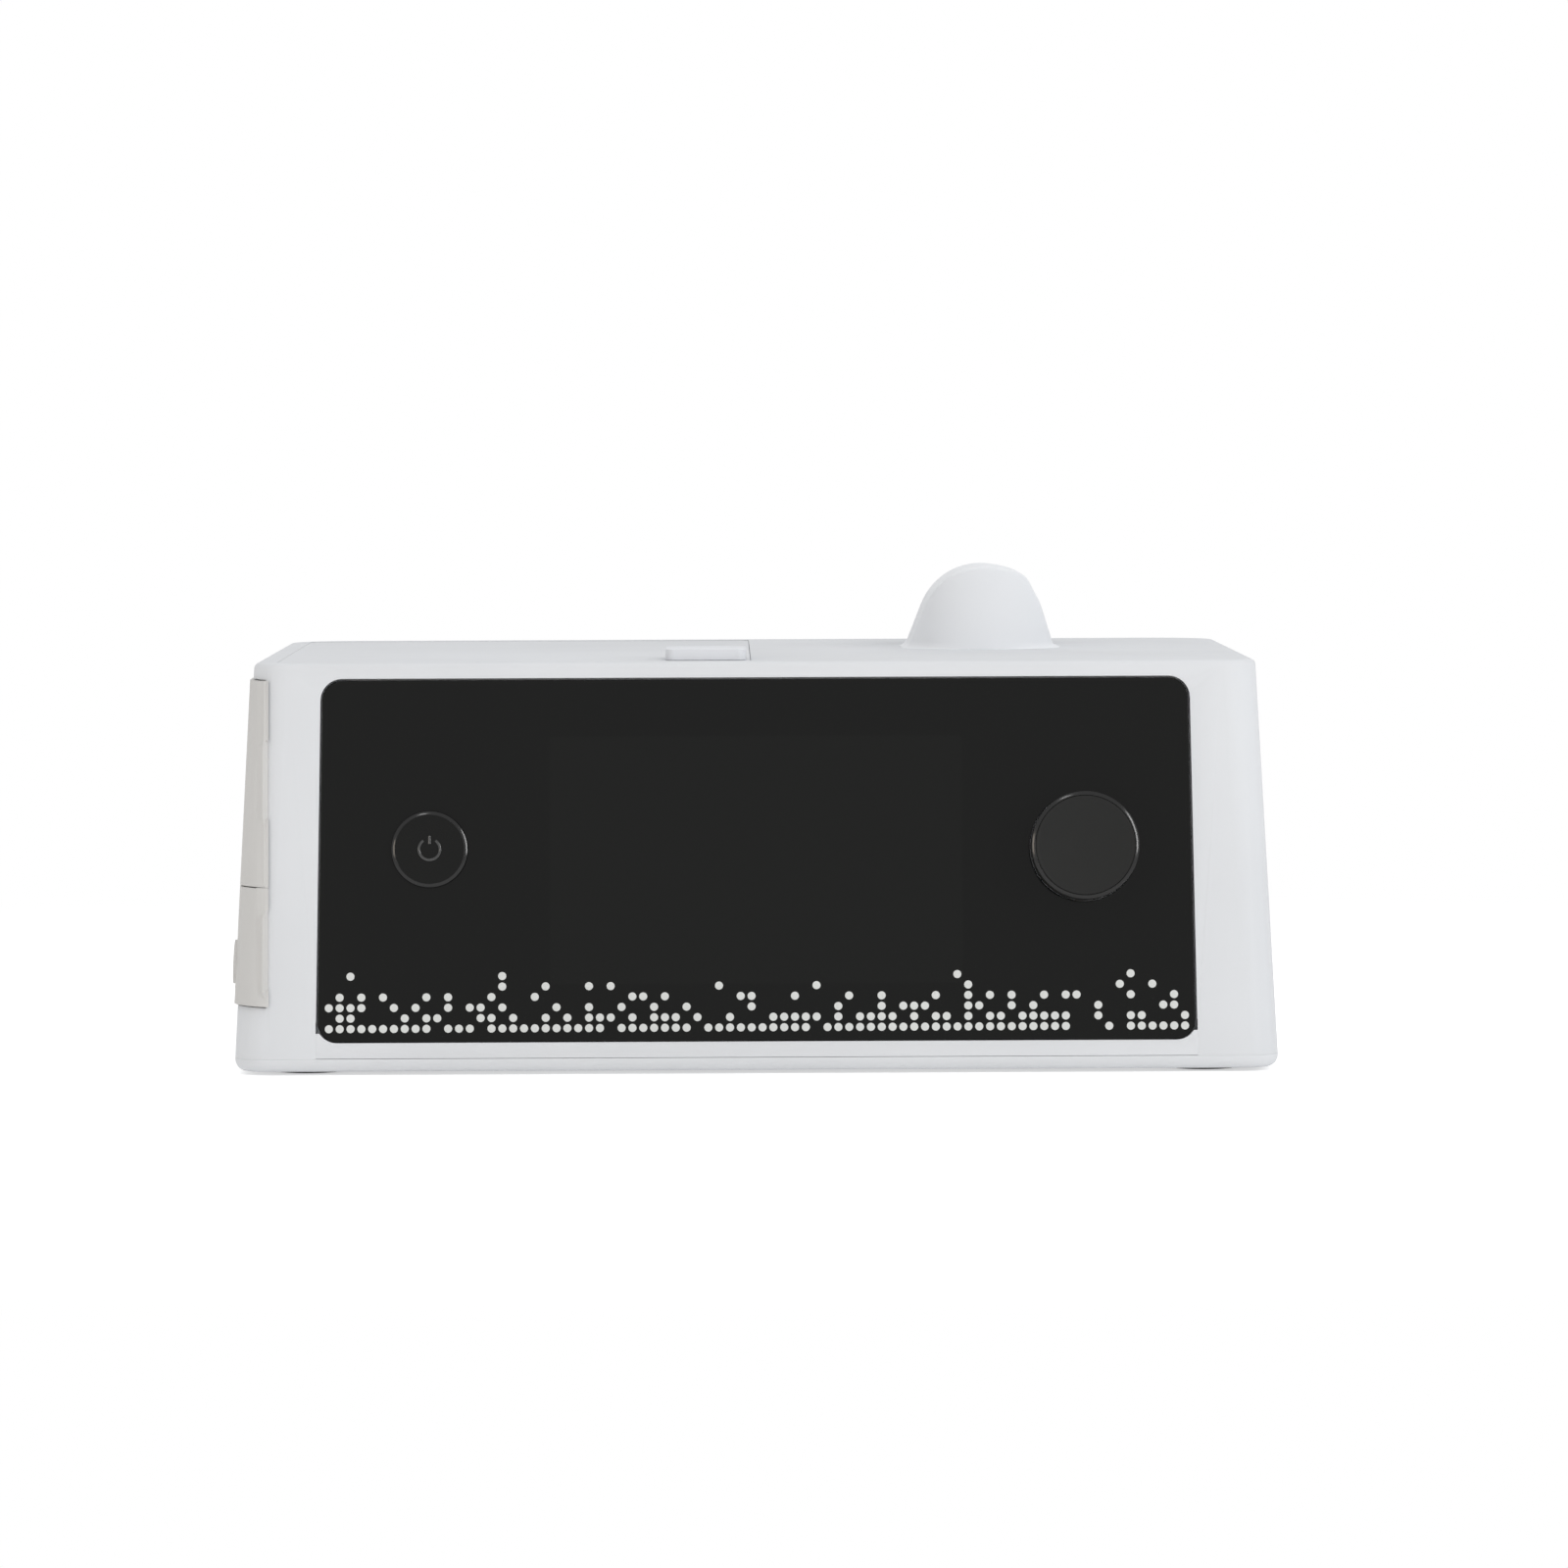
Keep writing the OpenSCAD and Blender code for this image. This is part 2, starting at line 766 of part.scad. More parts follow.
module knob_cap() {
  r = knob_d / 2;
  color(dark)
    on_front(knob_x, control_s, 0)
      difference() {
        union() {
          rotate_extrude()
            polygon(concat(
              [[0, knob_skirt], [r - 0.3, knob_skirt], [r, knob_skirt + 0.6]],
              [[r, knob_out - 1.4]], arc(r - 1.2, knob_out - 1.2, 1.2, 10, 90, 6),
              [[r - 2, knob_out], [r - 2.5, knob_out - 0.4], [0, knob_out - 0.4]]));
        }
        difference() {
          translate([0, 0, knob_skirt - over])
            cylinder(r = r - knob_wall, h = shaft_end - knob_skirt - 0.2);
          translate([0, 0, bushing_top + knob_push + gap])
            cylinder(r = hub_r, h = knob_out);
        }
        translate([0, 0, bushing_top])
          cylinder(r = shaft_r + 0.02, h = shaft_end - bushing_top);
      }
}

module encoder_shaft() {
  color(metal)
    on_front(knob_x, control_s, 0)
      union() {
        translate([0, 0, sleeve_z1 + run])
          cylinder(r = shaft_r, h = shaft_end - sleeve_z1 - run);
        translate([0, 0, sleeve_z0 + 0.2])
          cylinder(r = tip_r, h = sleeve_z1 - sleeve_z0);
      }
}

module encoder_sleeve() {
  side = cavity_w - 0.2;
  color(grey)
    on_front(knob_x, control_s, sleeve_z0)
      difference() {
        translate([-side / 2, -side / 2, 0])
          cube([side, side, sleeve_z1 - sleeve_z0]);
        translate([0, 0, -over])
          cylinder(r = tip_r + run, h = 10);
      }
}

module encoder_body() {
  color(grey)
    on_front(knob_x, control_s, 0)
      difference() {
        union() {
          translate([-encoder_w / 2, -encoder_w / 2, board_front])
            cube([encoder_w, encoder_w, encoder_top - board_front]);
          translate([0, 0, encoder_top - 0.1])
            cylinder(r = bushing_r, h = bushing_top - encoder_top + 0.1);
        }
        translate([-cavity_w / 2, -cavity_w / 2, cavity_z0])
          cube([cavity_w, cavity_w, cavity_z1 - cavity_z0]);
        translate([0, 0, cavity_z0])
          cylinder(r = shaft_r + run, h = 20);
      }
}

// Edge of the lid's top as a block with rounded outer edges
module lid_block(g, z0, z1) {
  intersection() {
    rounded_box(lid_x0 + g, lid_x1 - g, lid_y0 + g, lid_y1, z0, z1, 4 - min(g, 3));
    translate([-case_w, -case_d, 0])
      cube([2 * case_w, 2 * case_d, top_z]);
  }
}

module humidifier_lid() {
  knuckle_l = 22;
  color(white)
    difference() {
      union() {
        difference() {
          lid_block(0, top_z - lid_deck, top_z);
          lid_block(2, top_z - lid_deck - over, top_z - lid_t);
        }
        // Floor of the latch pocket
        translate([latch_x1 - latch_w - 2, latch_y0 - 2, latch_floor])
          cube([latch_w + 4, latch_l + latch_travel + 4, top_z - lid_t - latch_floor + 0.1]);
        // Knuckles around the pin
        for (x = [lid_x0 + 14, lid_x1 - 12 - knuckle_l])
          translate([x, hinge_y, hinge_z])
            rotate([0, 90, 0])
              cylinder(r = hinge_r, h = knuckle_l);
        translate([lid_x0 + 1, hinge_y, hinge_z])
          rotate([0, 90, 0])
            cylinder(r = hinge_r, h = lid_x1 - lid_x0 - 2);
        // Frame that presses on the seal
        difference() {
          rounded_box(bay_x0 - 1, bay_x1 + 1, bay_y0 - 1, bay_y1 + 1,
            top_z - lid_deck, top_z - lid_t + 0.1, 4);
          rounded_box(bay_x0 + 3, bay_x1 - 3, bay_y0 + 3, bay_y1 - 3,
            top_z - lid_deck - over, top_z - lid_t, 3);
        }
      }
      translate([lid_x0 - 10, hinge_y, hinge_z])
        rotate([0, 90, 0])
          cylinder(r = hinge_pin_r + run, h = lid_x1 - lid_x0 + 20);
      // Pocket for the latch
      translate([latch_x1 - latch_w - gap, latch_y0, top_z - latch_deep])
        cube([latch_w + 2 * gap, latch_l + latch_travel + gap, latch_deep + over]);
    }
}

module lid_hinge_pin() {
  color(metal)
    translate([lid_x0 - lid_seam - 3.8, hinge_y, hinge_z])
      rotate([0, 90, 0])
        cylinder(r = hinge_pin_r, h = lid_x1 - lid_x0 + 2 * lid_seam + 7.6);
}

module lid_seal() {
  color(grey)
    difference() {
      rounded_box(bay_x0 - 0.5, bay_x1 + 0.5, bay_y0 - 0.5, bay_y1 + 0.5,
        bay_z1 + 0.2, top_z - lid_deck, 4);
      rounded_box(bay_x0 + 1.5, bay_x1 - 1.5, bay_y0 + 1.5, bay_y1 - 1.5,
        bay_z1 - over, top_z - lid_deck + over, 3);
    }
}

// A slide in the lid's pocket under a proud thumb piece with grip grooves
module lid_latch() {
  x0 = latch_x1 - latch_w;
  xm = latch_x1 - latch_w / 2;
  head_z0 = top_z + 0.2;
  color(white)
    difference() {
      union() {
        translate([x0, latch_y0 + gap, top_z - latch_deep])
          cube([latch_w, latch_l - gap, latch_deep + 0.5]);
        rounded_box(xm - latch_head_w / 2, xm + latch_head_w / 2, latch_y0 - 1, latch_y0 + latch_l,
          head_z0, head_z0 + latch_head_h, 2);
      }
      for (i = [0:3])
        translate([x0 + 1, latch_y0 + 7 + 3 * i, head_z0 + latch_head_h - 0.5])
          cube([latch_w - 2, 1.2, 1]);
      translate([xm, latch_y0 + latch_l - 6, top_z - latch_deep / 2])
        rotate([-90, 0, 0])
          cylinder(r = 1.5, h = 7);
    }
}

module latch_spring() {
  turns = 5;
  wire = 0.25;
  r = 1.1;
  y0 = latch_y0 + latch_l - 6 + wire;
  len = latch_travel + 6 + gap - 2 * wire;
  steps = 8;
  ring = 6;
  n = turns * steps;
  pts = [for (i = [0:n], j = [0:ring - 1])
    let (a = 360 * i / steps, b = 360 * j / ring, q = r + wire * cos(b))
    [q * cos(a), len * i / n + wire * sin(b), q * sin(a)]];
  faces = concat(
    [for (i = [0:n - 1], j = [0:ring - 1])
      let (k = (j + 1) % ring)
      [i * ring + j, i * ring + k, (i + 1) * ring + k]],
    [for (i = [0:n - 1], j = [0:ring - 1])
      let (k = (j + 1) % ring)
      [i * ring + j, (i + 1) * ring + k, (i + 1) * ring + j]],
    [for (j = [1:ring - 2]) [0, j + 1, j]],
    [for (j = [1:ring - 2]) [n * ring, n * ring + j, n * ring + j + 1]]);
  color(metal)
    translate([latch_x1 - latch_w / 2, y0, top_z - latch_deep / 2])
      polyhedron(pts, faces);
}

module bay_liner() {
  color(grey)
    difference() {
      rounded_box(bay_x0, bay_x1, bay_y0, bay_y1, bay_z0, bay_z1, 4);
      rounded_box(bay_x0 + bay_wall, bay_x1 - bay_wall, bay_y0 + bay_wall, bay_y1 - bay_wall,
        heater_z1 - 0.6, bay_z1 + over, 3);
      translate([bay_xm, bay_ym, bay_z0 - over])
        cylinder(r = heater_d / 2 + gap, h = 10);
      for (y = [blow_y, duct_y])
        translate([bay_x1 - 2 * bay_wall, y, link_z])
          rotate([0, 90, 0])
            cylinder(r = link_r + link_ring, h = 4 * bay_wall);
    }
}

module heater_plate() {
  color(metal)
    translate([bay_xm, bay_ym, heater_z0])
      cylinder(r = heater_d / 2, h = heater_t);
}

module chamber_box(g, z0, z1, r = 6) {
  rounded_box(bay_xm - chamber_w / 2 - g, bay_xm + chamber_w / 2 + g,
    bay_ym - chamber_l / 2 - g, bay_ym + chamber_l / 2 + g, z0, z1, r);
}

module water_chamber() {
  color(clear)
    difference() {
      chamber_box(0, chamber_z0, chamber_z1);
      chamber_box(-chamber_wall, chamber_z0 + chamber_wall, chamber_z1 + over, 4);
      translate([bay_xm, bay_ym, chamber_z0 - over])
        cylinder(r = heater_d / 2 - 3, h = 10);
      translate([bay_xm, bay_ym, chamber_z0 - over])
        cylinder(r = heater_d / 2, h = over + plate_thin);
    }
}

module chamber_base_plate() {
  color(metal)
    translate([bay_xm, bay_ym, chamber_z0])
      cylinder(r = heater_d / 2 - 0.1, h = plate_thin);
}

module chamber_seal() {
  color(grey)
    difference() {
      chamber_box(0, chamber_z1, dome_z0);
      chamber_box(-flange_w, chamber_z1 - over, dome_z0 + over, 3.5);
    }
}

module chamber_cover() {
  color(clear)
    difference() {
      union() {
        chamber_box(0, dome_z0, dome_z0 + cover_t);
        chamber_box(-4, dome_z0, dome_z1);
        for (y = [blow_y, duct_y])
          translate([bay_xm + chamber_w / 2 - 12, y, link_z])
            rotate([0, 90, 0])
              cylinder(r = link_r, h = 12);
      }
      chamber_box(-4 - cover_t, dome_z0 - over, dome_z1 - cover_t, 4);
      for (y = [blow_y, duct_y])
        translate([bay_xm + chamber_w / 2 - 16, y, link_z])
          rotate([0, 90, 0])
            cylinder(r = link_bore, h = 20);
    }
}

module port_couplings() {
  x0 = bay_xm + chamber_w / 2;
  color(dark)
    for (y = [blow_y, duct_y])
      translate([x0, y, link_z])
        rotate([0, 90, 0])
          difference() {
            cylinder(r = link_r + link_ring - 0.1, h = bay_x1 - x0 + 1.5);
            translate([0, 0, -over])
              cylinder(r = link_bore, h = 10);
          }
}

module filter_cover() {
  color(white)
    side_flap(cover_z0, cover_z1, notch_z0, notch_z1);
}

module flap_hinge_pin() {
  color(metal)
    on_left()
      translate([axis_in, flap_axis_y, flap_rod_z0 + 0.1])
        cylinder(r = flap_pin_r, h = flap_rod_z1 - flap_rod_z0 - 0.2);
}

module filter_box() {
  color(grey)
    on_left()
      difference() {
        translate([wall + 0.1, box_y0, box_z0])
          cube([box_deep, box_y1 - box_y0, box_z1 - box_z0]);
        translate([wall - over, box_y0 + box_wall, box_z0 + box_wall])
          cube([box_deep + over - box_wall, box_y1 - box_y0 - 2 * box_wall,
            box_z1 - box_z0 - 2 * box_wall]);
        translate([wall + 10, box_y1 - 2 * box_wall, box_z0 + 8])
          rotate([-90, 0, 0])
            cylinder(r = 4, h = 10);
      }
}

module air_filter() {
  color([0.8, 0.8, 0.78])
    on_left()
      translate([wall + 0.3, box_y0 + box_wall + gap, box_z0 + box_wall + gap])
        cube([filter_t, box_y1 - box_y0 - 2 * (box_wall + gap),
          box_z1 - box_z0 - 2 * (box_wall + gap)]);
}

module port_door() {
  grip_r = 5;
  color(white)
    union() {
      side_flap(door_z0, door_z1, scoop_z0, scoop_z1);
      on_left()
        translate([-flap_out - 0.6, front_y(grip_z) + front_r + 3, grip_z])
          rotate([0, 90, 0])
            cylinder(r = grip_r, h = 1);
    }
}

module port_board() {
  color(board)
    on_left()
      translate([socket_in + 4, socket_y0 + 2, socket_z0])
        cube([board_t, socket_y1 - socket_y0 - 4, socket_z1 - socket_z0]);
}

module card_socket() {
  color(metal)
    on_left()
      difference() {
        translate([wall + 0.5, card_y - 1.8, socket_z0 + 0.5])
          cube([socket_in + 3.5 - wall, 3.6, 21]);
        translate([wall - over, card_y - 1.1, socket_z0 + 0.5 + 1.4])
          cube([socket_in + 2.5 - wall + over, 2.2, 18.2]);
      }
}

module memory_card() {
  color(dark)
    on_left()
      translate([wall - 0.5, card_y - 1.05, socket_z0 + 2.2])
        cube([socket_in + 3 - wall, 2.1, 17.6]);
}

module usb_socket() {
  color(metal)
    on_left()
      difference() {
        translate([wall + 0.5, usb_y - 2, socket_z0 + 6])
          cube([socket_in + 3.5 - wall, 4, 9]);
        translate([wall - over, usb_y - 1.4, socket_z0 + 6.8])
          cube([socket_in - 2, 2.8, 7.4]);
      }
}

module inlet_duct() {
  zm = (box_z0 + box_z1) / 2;
  x0 = -half_w(zm) + wall + 6.75;
  y1 = rear_y(zm) - wall - 2.85;
  z0 = box_z0 + 1;
  h = 22;
  color(grey)
    difference() {
      union() {
        translate([x0, box_y1 + 1.5, z0])
          cube([box_deep - 4, y1 - box_y1 - 1.5, h]);
        translate([x0, bay_y1 + 1, z0])
          cube([blower_x - blower_r + 4 - x0, y1 - bay_y1 - 1, h]);
      }
      translate([x0 + box_wall, box_y1, z0 + box_wall])
        cube([box_deep - 4 - 2 * box_wall, y1 - box_wall - box_y1, h - 2 * box_wall]);
      translate([x0 + box_wall, bay_y1 + 1 + box_wall, z0 + box_wall])
        cube([blower_x - x0, y1 - bay_y1 - 1 - 2 * box_wall, h - 2 * box_wall]);
    }
}

module blower_base() {
  color(grey)
    translate([blower_x, blower_y, 0])
      difference() {
        translate([0, 0, blower_z0])
          cylinder(r = blower_r, h = blower_zm - blower_z0);
        translate([0, 0, motor_z0])
          cylinder(r = motor_r + gap, h = blower_h);
        difference() {
          translate([0, 0, motor_z0 + 1])
            cylinder(r = blower_r - volute_wall, h = blower_h);
          cylinder(r = motor_r + volute_wall, h = 2 * blower_h);
        }
      }
}

module motor_can() {
  color(metal)
    translate([blower_x, blower_y, 0])
      difference() {
        translate([0, 0, motor_z0])
          cylinder(r = motor_r, h = motor_z1 - motor_z0);
        translate([0, 0, motor_z0 - over])
          cylinder(r = rotor_r + 1, h = blower_h);
        translate([0, 0, motor_z0 - over])
          cylinder(r = bearing_r + 0.02, h = bearing_t + over);
        translate([0, 0, motor_z1 - bearing_t])
          cylinder(r = bearing_r + 0.02, h = bearing_t + over);
      }
}

module motor_bearings() {
  color(metal)
    for (z = [motor_z0, motor_z1 - bearing_t])
      translate([blower_x, blower_y, z])
        difference() {
          cylinder(r = bearing_r, h = bearing_t);
          translate([0, 0, -over])
            cylinder(r = rotor_r + run, h = 3 * bearing_t);
        }
}

module rotor_shaft() {
  color(metal)
    translate([blower_x, blower_y, motor_z0 + 0.2])
      cylinder(r = rotor_r, h = impeller_z0 + impeller_h - motor_z0 - 1.2);
}

module impeller() {
  color(dark)
    translate([blower_x, blower_y, impeller_z0])
      difference() {
        union() {
          cylinder(r = impeller_r, h = 1.6);
          cylinder(r = 5, h = impeller_h);
          for (i = [0:blades - 1])
            rotate([0, 0, 360 * i / blades])
              translate([4, -0.6, 0])
                rotate([0, 0, 28])
                  cube([impeller_r - 8, 1.2, impeller_h - 1]);
        }
        translate([0, 0, -over])
          cylinder(r = rotor_r + 0.02, h = 2 * impeller_h);
      }
}

module blower_top() {
  spigot_y = -blower_r + spigot_r + 1;
  color(grey)
    translate([blower_x, blower_y, 0])
      difference() {
        union() {
          translate([0, 0, blower_zm])
            cylinder(r = blower_r, h = blower_z1 - blower_zm);
          translate([-blower_r - 6, spigot_y, spigot_z])
            rotate([0, 90, 0])
              cylinder(r = spigot_r, h = blower_r + 6);
        }
        translate([0, 0, blower_zm - over])
          cylinder(r = blower_r - volute_wall, h = blower_z1 - blower_zm - volute_wall + over);
        translate([0, 0, blower_zm])
          cylinder(r = eye_r, h = blower_h);
        translate([-blower_r - 8, spigot_y, spigot_z])
          rotate([0, 90, 0])
            cylinder(r = spigot_bore, h = blower_r + 8);
      }
}

module blower_mounts() {
  color(dark)
    for (a = [45:90:315])
      translate([blower_x + mount_ring * cos(a), blower_y + mount_ring * sin(a), post_top])
        cylinder(r = mount_rr, h = mount_h);
}

// A pipe with an upright middle: in along X at one height, out along X at another
module blower_duct() {
  y = blow_y;
  x1 = blower_x - blower_r - 6;
  color(grey)
    difference() {
      union() {
        translate([elbow_x, y, spigot_z])
          rotate([0, 90, 0])
            cylinder(r = spigot_r, h = x1 - elbow_x - 0.1);
        translate([elbow_x, y, spigot_z])
          sphere(r = spigot_r);
        translate([elbow_x, y, spigot_z])
          cylinder(r = spigot_r, h = link_z - spigot_z);
        translate([elbow_x, y, link_z])
          sphere(r = spigot_r);
        translate([bay_x1 + 1.6, y, link_z])
          rotate([0, 90, 0])
            cylinder(r = spigot_r, h = elbow_x - bay_x1 - 1.6);
      }
      translate([elbow_x, y, spigot_z])
        rotate([0, 90, 0])
          cylinder(r = spigot_bore, h = case_w / 2);
      translate([elbow_x, y, spigot_z])
        sphere(r = spigot_bore);
      translate([elbow_x, y, spigot_z])
        cylinder(r = spigot_bore, h = link_z - spigot_z);
      translate([elbow_x, y, link_z])
        sphere(r = spigot_bore);
      translate([elbow_x - case_w / 2, y, link_z])
        rotate([0, 90, 0])
          cylinder(r = spigot_bore, h = case_w / 2);
    }
}

module outlet_duct() {
  z1 = case_h - wall - 4;
  color(grey)
    difference() {
      union() {
        translate([bay_x1 + 1.6, duct_y, link_z])
          rotate([0, 90, 0])
            cylinder(r = duct_r, h = port_x - bay_x1 - 1.6);
        translate([port_x, duct_y, link_z])
          sphere(r = duct_r);
        translate([port_x, duct_y, link_z])
          cylinder(r = duct_r, h = z1 - link_z);
      }
      translate([bay_x1, duct_y, link_z])
        rotate([0, 90, 0])
          cylinder(r = duct_bore, h = port_x - bay_x1);
      translate([port_x, duct_y, link_z])
        sphere(r = duct_bore);
      translate([port_x, duct_y, link_z])
        cylinder(r = duct_bore, h = case_h);
    }
}

module flow_sensor() {
  color(board)
    difference() {
      translate([port_x - 34, duct_y - 6, link_z + duct_r - 2])
        cube([16, 12, 8]);
      translate([0, duct_y, link_z])
        rotate([0, 90, 0])
          cylinder(r = duct_r + 0.05, h = case_w / 2);
    }
}

// The cowl's outline seen from the front, shrunk by g: a round crown on two leaning flanks
module cowl_arch(g) {
  w = cowl_half - g;
  r = cowl_crown - g;
  zm = cowl_h - cowl_crown;
  lean = acos(r / sqrt(w * w + zm * zm)) - atan(zm / w);
  polygon(concat([[w, 0]], arc(0, zm, r, lean, 180 - lean, 28), [[-w, 0], [-w, -foot_t], [w, -foot_t]]));
}

// The cowl's block, shrunk by g: the arch carried from front to back, round in plan at its front
module cowl_form(g) {
  w = cowl_half - g;
  ym = cowl_y0 + cowl_half;
  intersection() {
    translate([port_x, cowl_y1, case_h])
      rotate([90, 0, 0])
        linear_extrude(cowl_y1 - cowl_y0)
          cowl_arch(g);
    translate([port_x, ym, case_h - foot_t])
      union() {
        cylinder(r = w, h = cowl_h + 2 * foot_t);
        translate([-w, 0, 0])
          cube([2 * w, cowl_y1 - ym, cowl_h + 2 * foot_t]);
      }
  }
}

module outlet_cowl() {
  color(white)
    difference() {
      cowl_form(0);
      intersection() {
        cowl_form(cowl_wall);
        translate([port_x - cowl_half, cowl_y0, case_h - 2 * foot_t])
          cube([2 * cowl_half, cowl_y1 - cowl_wall - cowl_y0, 2 * cowl_h]);
      }
      translate([port_x - 2 * cowl_half, cowl_y0 - over, case_h - 2 * foot_t])
        cube([4 * cowl_half, case_d, 2 * foot_t]);
      translate([port_x, duct_y, port_z])
        rotate([-90, 0, 0])
          cylinder(r = cowl_open, h = case_d);
    }
}

module outlet_port() {
  z0 = case_h - wall - 3;
  color(grey)
    difference() {
      union() {
        translate([port_x, duct_y, port_z])
          sphere(r = neck_r);
        translate([port_x, duct_y, z0])
          cylinder(r = neck_r, h = port_z - z0);
        translate([port_x, duct_y, port_z])
          rotate([-90, 0, 0])
            cylinder(r = neck_r, h = port_y0 + 1 - duct_y);
        translate([port_x, port_y0, port_z])
          rotate([-90, 0, 0])
            cylinder(r = port_r, h = port_l);
      }
      translate([port_x, duct_y, port_z])
        sphere(r = port_bore / 2);
      translate([port_x, duct_y, z0 - over])
        cylinder(r = port_bore / 2, h = port_z - z0 + over);
      translate([port_x, duct_y, port_z])
        rotate([-90, 0, 0])
          cylinder(r = port_bore / 2, h = case_d);
    }
}

module port_seal() {
  z0 = case_h - wall - 4;
  color(dark)
    translate([port_x, duct_y, z0])
      difference() {
        cylinder(r = duct_r, h = 1);
        translate([0, 0, -over])
          cylinder(r = duct_bore, h = 4);
      }
}

module main_board() {
  color(board)
    translate([main_x0, main_y, main_z0])
      cube([main_x1 - main_x0, board_t, main_z1 - main_z0]);
}

module dc_inlet() {
  y0 = main_y + board_t;
  color(dark)
    difference() {
      union() {
        translate([dc_x - dc_block / 2, y0, rear_z - dc_block / 2])
          cube([dc_block, rear_y(rear_z) - wall - 1.5 - y0, dc_block]);
        translate([dc_x, y0, rear_z])
          rotate([-90, 0, 0])
            cylinder(r = dc_r, h = rear_y(rear_z) + socket_out - y0);
      }
      translate([dc_x, rear_y(rear_z) - 10, rear_z])
        rotate([-90, 0, 0])
          difference() {
            cylinder(r = dc_r - 1.2, h = 20);
            translate([0, 0, -over])
              cylinder(r = 1, h = 9);
          }
    }
}

module service_port() {
  y0 = main_y + board_t;
  color(dark)
    difference() {
      translate([service_x, y0, rear_z])
        rotate([-90, 0, 0])
          cylinder(r = service_r, h = rear_y(rear_z) + socket_out - y0);
      translate([service_x, rear_y(rear_z) - 8, rear_z])
        rotate([-90, 0, 0])
          difference() {
            cylinder(r = service_r - 1.2, h = 20);
            translate([0, 0, -over])
              cylinder(r = service_r - 2.6, h = 8);
          }
    }
}

module speaker() {
  color(dark)
    translate([speaker_x, speaker_y, floor_z])
      difference() {
        cylinder(r = speaker_r, h = speaker_t);
        translate([0, 0, -over])
          cylinder(r = speaker_r - 2, h = 1 + over);
      }
}

base_tray();
main_housing();
front_fascia();
rubber_feet();
case_screws();
front_lens();
lcd_module();
display_board();
board_screws();
display_ribbon();
power_button();
switch_stem();
power_switch();
knob_cap();
encoder_shaft();
encoder_sleeve();
encoder_body();
humidifier_lid();
lid_hinge_pin();
lid_seal();
lid_latch();
latch_spring();
bay_liner();
water_chamber();
chamber_cover();
chamber_seal();
chamber_base_plate();
heater_plate();
port_couplings();
filter_cover();
filter_box();
air_filter();
port_door();
flap_hinge_pin();
port_board();
card_socket();
memory_card();
usb_socket();
inlet_duct();
blower_base();
blower_top();
impeller();
rotor_shaft();
motor_can();
motor_bearings();
blower_mounts();
blower_duct();
outlet_duct();
flow_sensor();
outlet_cowl();
outlet_port();
port_seal();
main_board();
dc_inlet();
service_port();
speaker();
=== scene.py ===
import json
import math

import bmesh
import bpy
import numpy as np
from mathutils import Euler, Matrix, Vector
from mathutils.geometry import tessellate_polygon


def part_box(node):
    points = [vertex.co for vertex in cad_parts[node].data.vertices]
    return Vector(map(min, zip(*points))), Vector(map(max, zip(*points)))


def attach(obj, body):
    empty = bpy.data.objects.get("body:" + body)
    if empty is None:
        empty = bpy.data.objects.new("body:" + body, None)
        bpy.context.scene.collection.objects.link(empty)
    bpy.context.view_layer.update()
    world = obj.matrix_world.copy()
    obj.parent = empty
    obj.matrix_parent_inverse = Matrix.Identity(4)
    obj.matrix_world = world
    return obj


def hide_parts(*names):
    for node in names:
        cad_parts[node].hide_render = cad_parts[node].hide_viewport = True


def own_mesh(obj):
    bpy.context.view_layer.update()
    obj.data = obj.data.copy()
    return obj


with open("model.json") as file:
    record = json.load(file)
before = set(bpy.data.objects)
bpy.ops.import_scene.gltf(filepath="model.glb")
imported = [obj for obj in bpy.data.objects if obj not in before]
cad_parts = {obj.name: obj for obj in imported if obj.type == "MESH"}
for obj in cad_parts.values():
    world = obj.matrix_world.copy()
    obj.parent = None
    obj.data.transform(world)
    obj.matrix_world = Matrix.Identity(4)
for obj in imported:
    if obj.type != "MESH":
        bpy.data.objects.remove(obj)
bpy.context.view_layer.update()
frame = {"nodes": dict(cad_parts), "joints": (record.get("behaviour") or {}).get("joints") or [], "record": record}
node_object = frame["nodes"]

# The studio

# The machine stands on a pale table between two upright strip lamps, a strong one to the
# viewer's right and a weak warm one low on the left, with a third lamp overhead. The camera
# is about two metres in front of it, a little above its top, with a long lens.
camera_data = bpy.data.cameras.new("view_from_the_front")
camera_data.sensor_width = 36
camera_data.lens = 192.0
camera = bpy.data.objects.new("view_from_the_front", camera_data)
camera.location = (-0.0079, -1.9831, 0.1525)
camera.rotation_euler = Euler([math.radians(a) for a in (90 - 2.63, 0.2245, -0.4432)])
bpy.context.scene.collection.objects.link(camera)
bpy.context.scene.camera = camera
bpy.context.scene.view_settings.view_transform = "Standard"


MACHINE_MIDDLE = Vector((0, 0, 0.05))


def soft_lamp(name, place, width, height, watts, tint):
    """An oblong lamp of that size in metres at a place, turned to face the machine."""
    lamp = bpy.data.lights.new(name, "AREA")
    lamp.shape = "RECTANGLE"
    lamp.size, lamp.size_y, lamp.energy, lamp.color = width, height, watts, tint
    made = bpy.data.objects.new(name, lamp)
    made.location = place
    made.rotation_euler = (MACHINE_MIDDLE - Vector(place)).to_track_quat("-Z", "Y").to_euler()
    bpy.context.scene.collection.objects.link(made)


soft_lamp("lamp_right", (1.09, -1.06, 0.48), 0.14, 0.85, 5.9, (1, 1, 1))
soft_lamp("lamp_left", (-1.35, -1.5, 0.32), 0.3, 0.55, 3.0, (1, 0.88, 0.74))
soft_lamp("lamp_above", (-0.4, -1.42, 1.65), 0.3, 0.25, 1.9, (1, 1, 1))


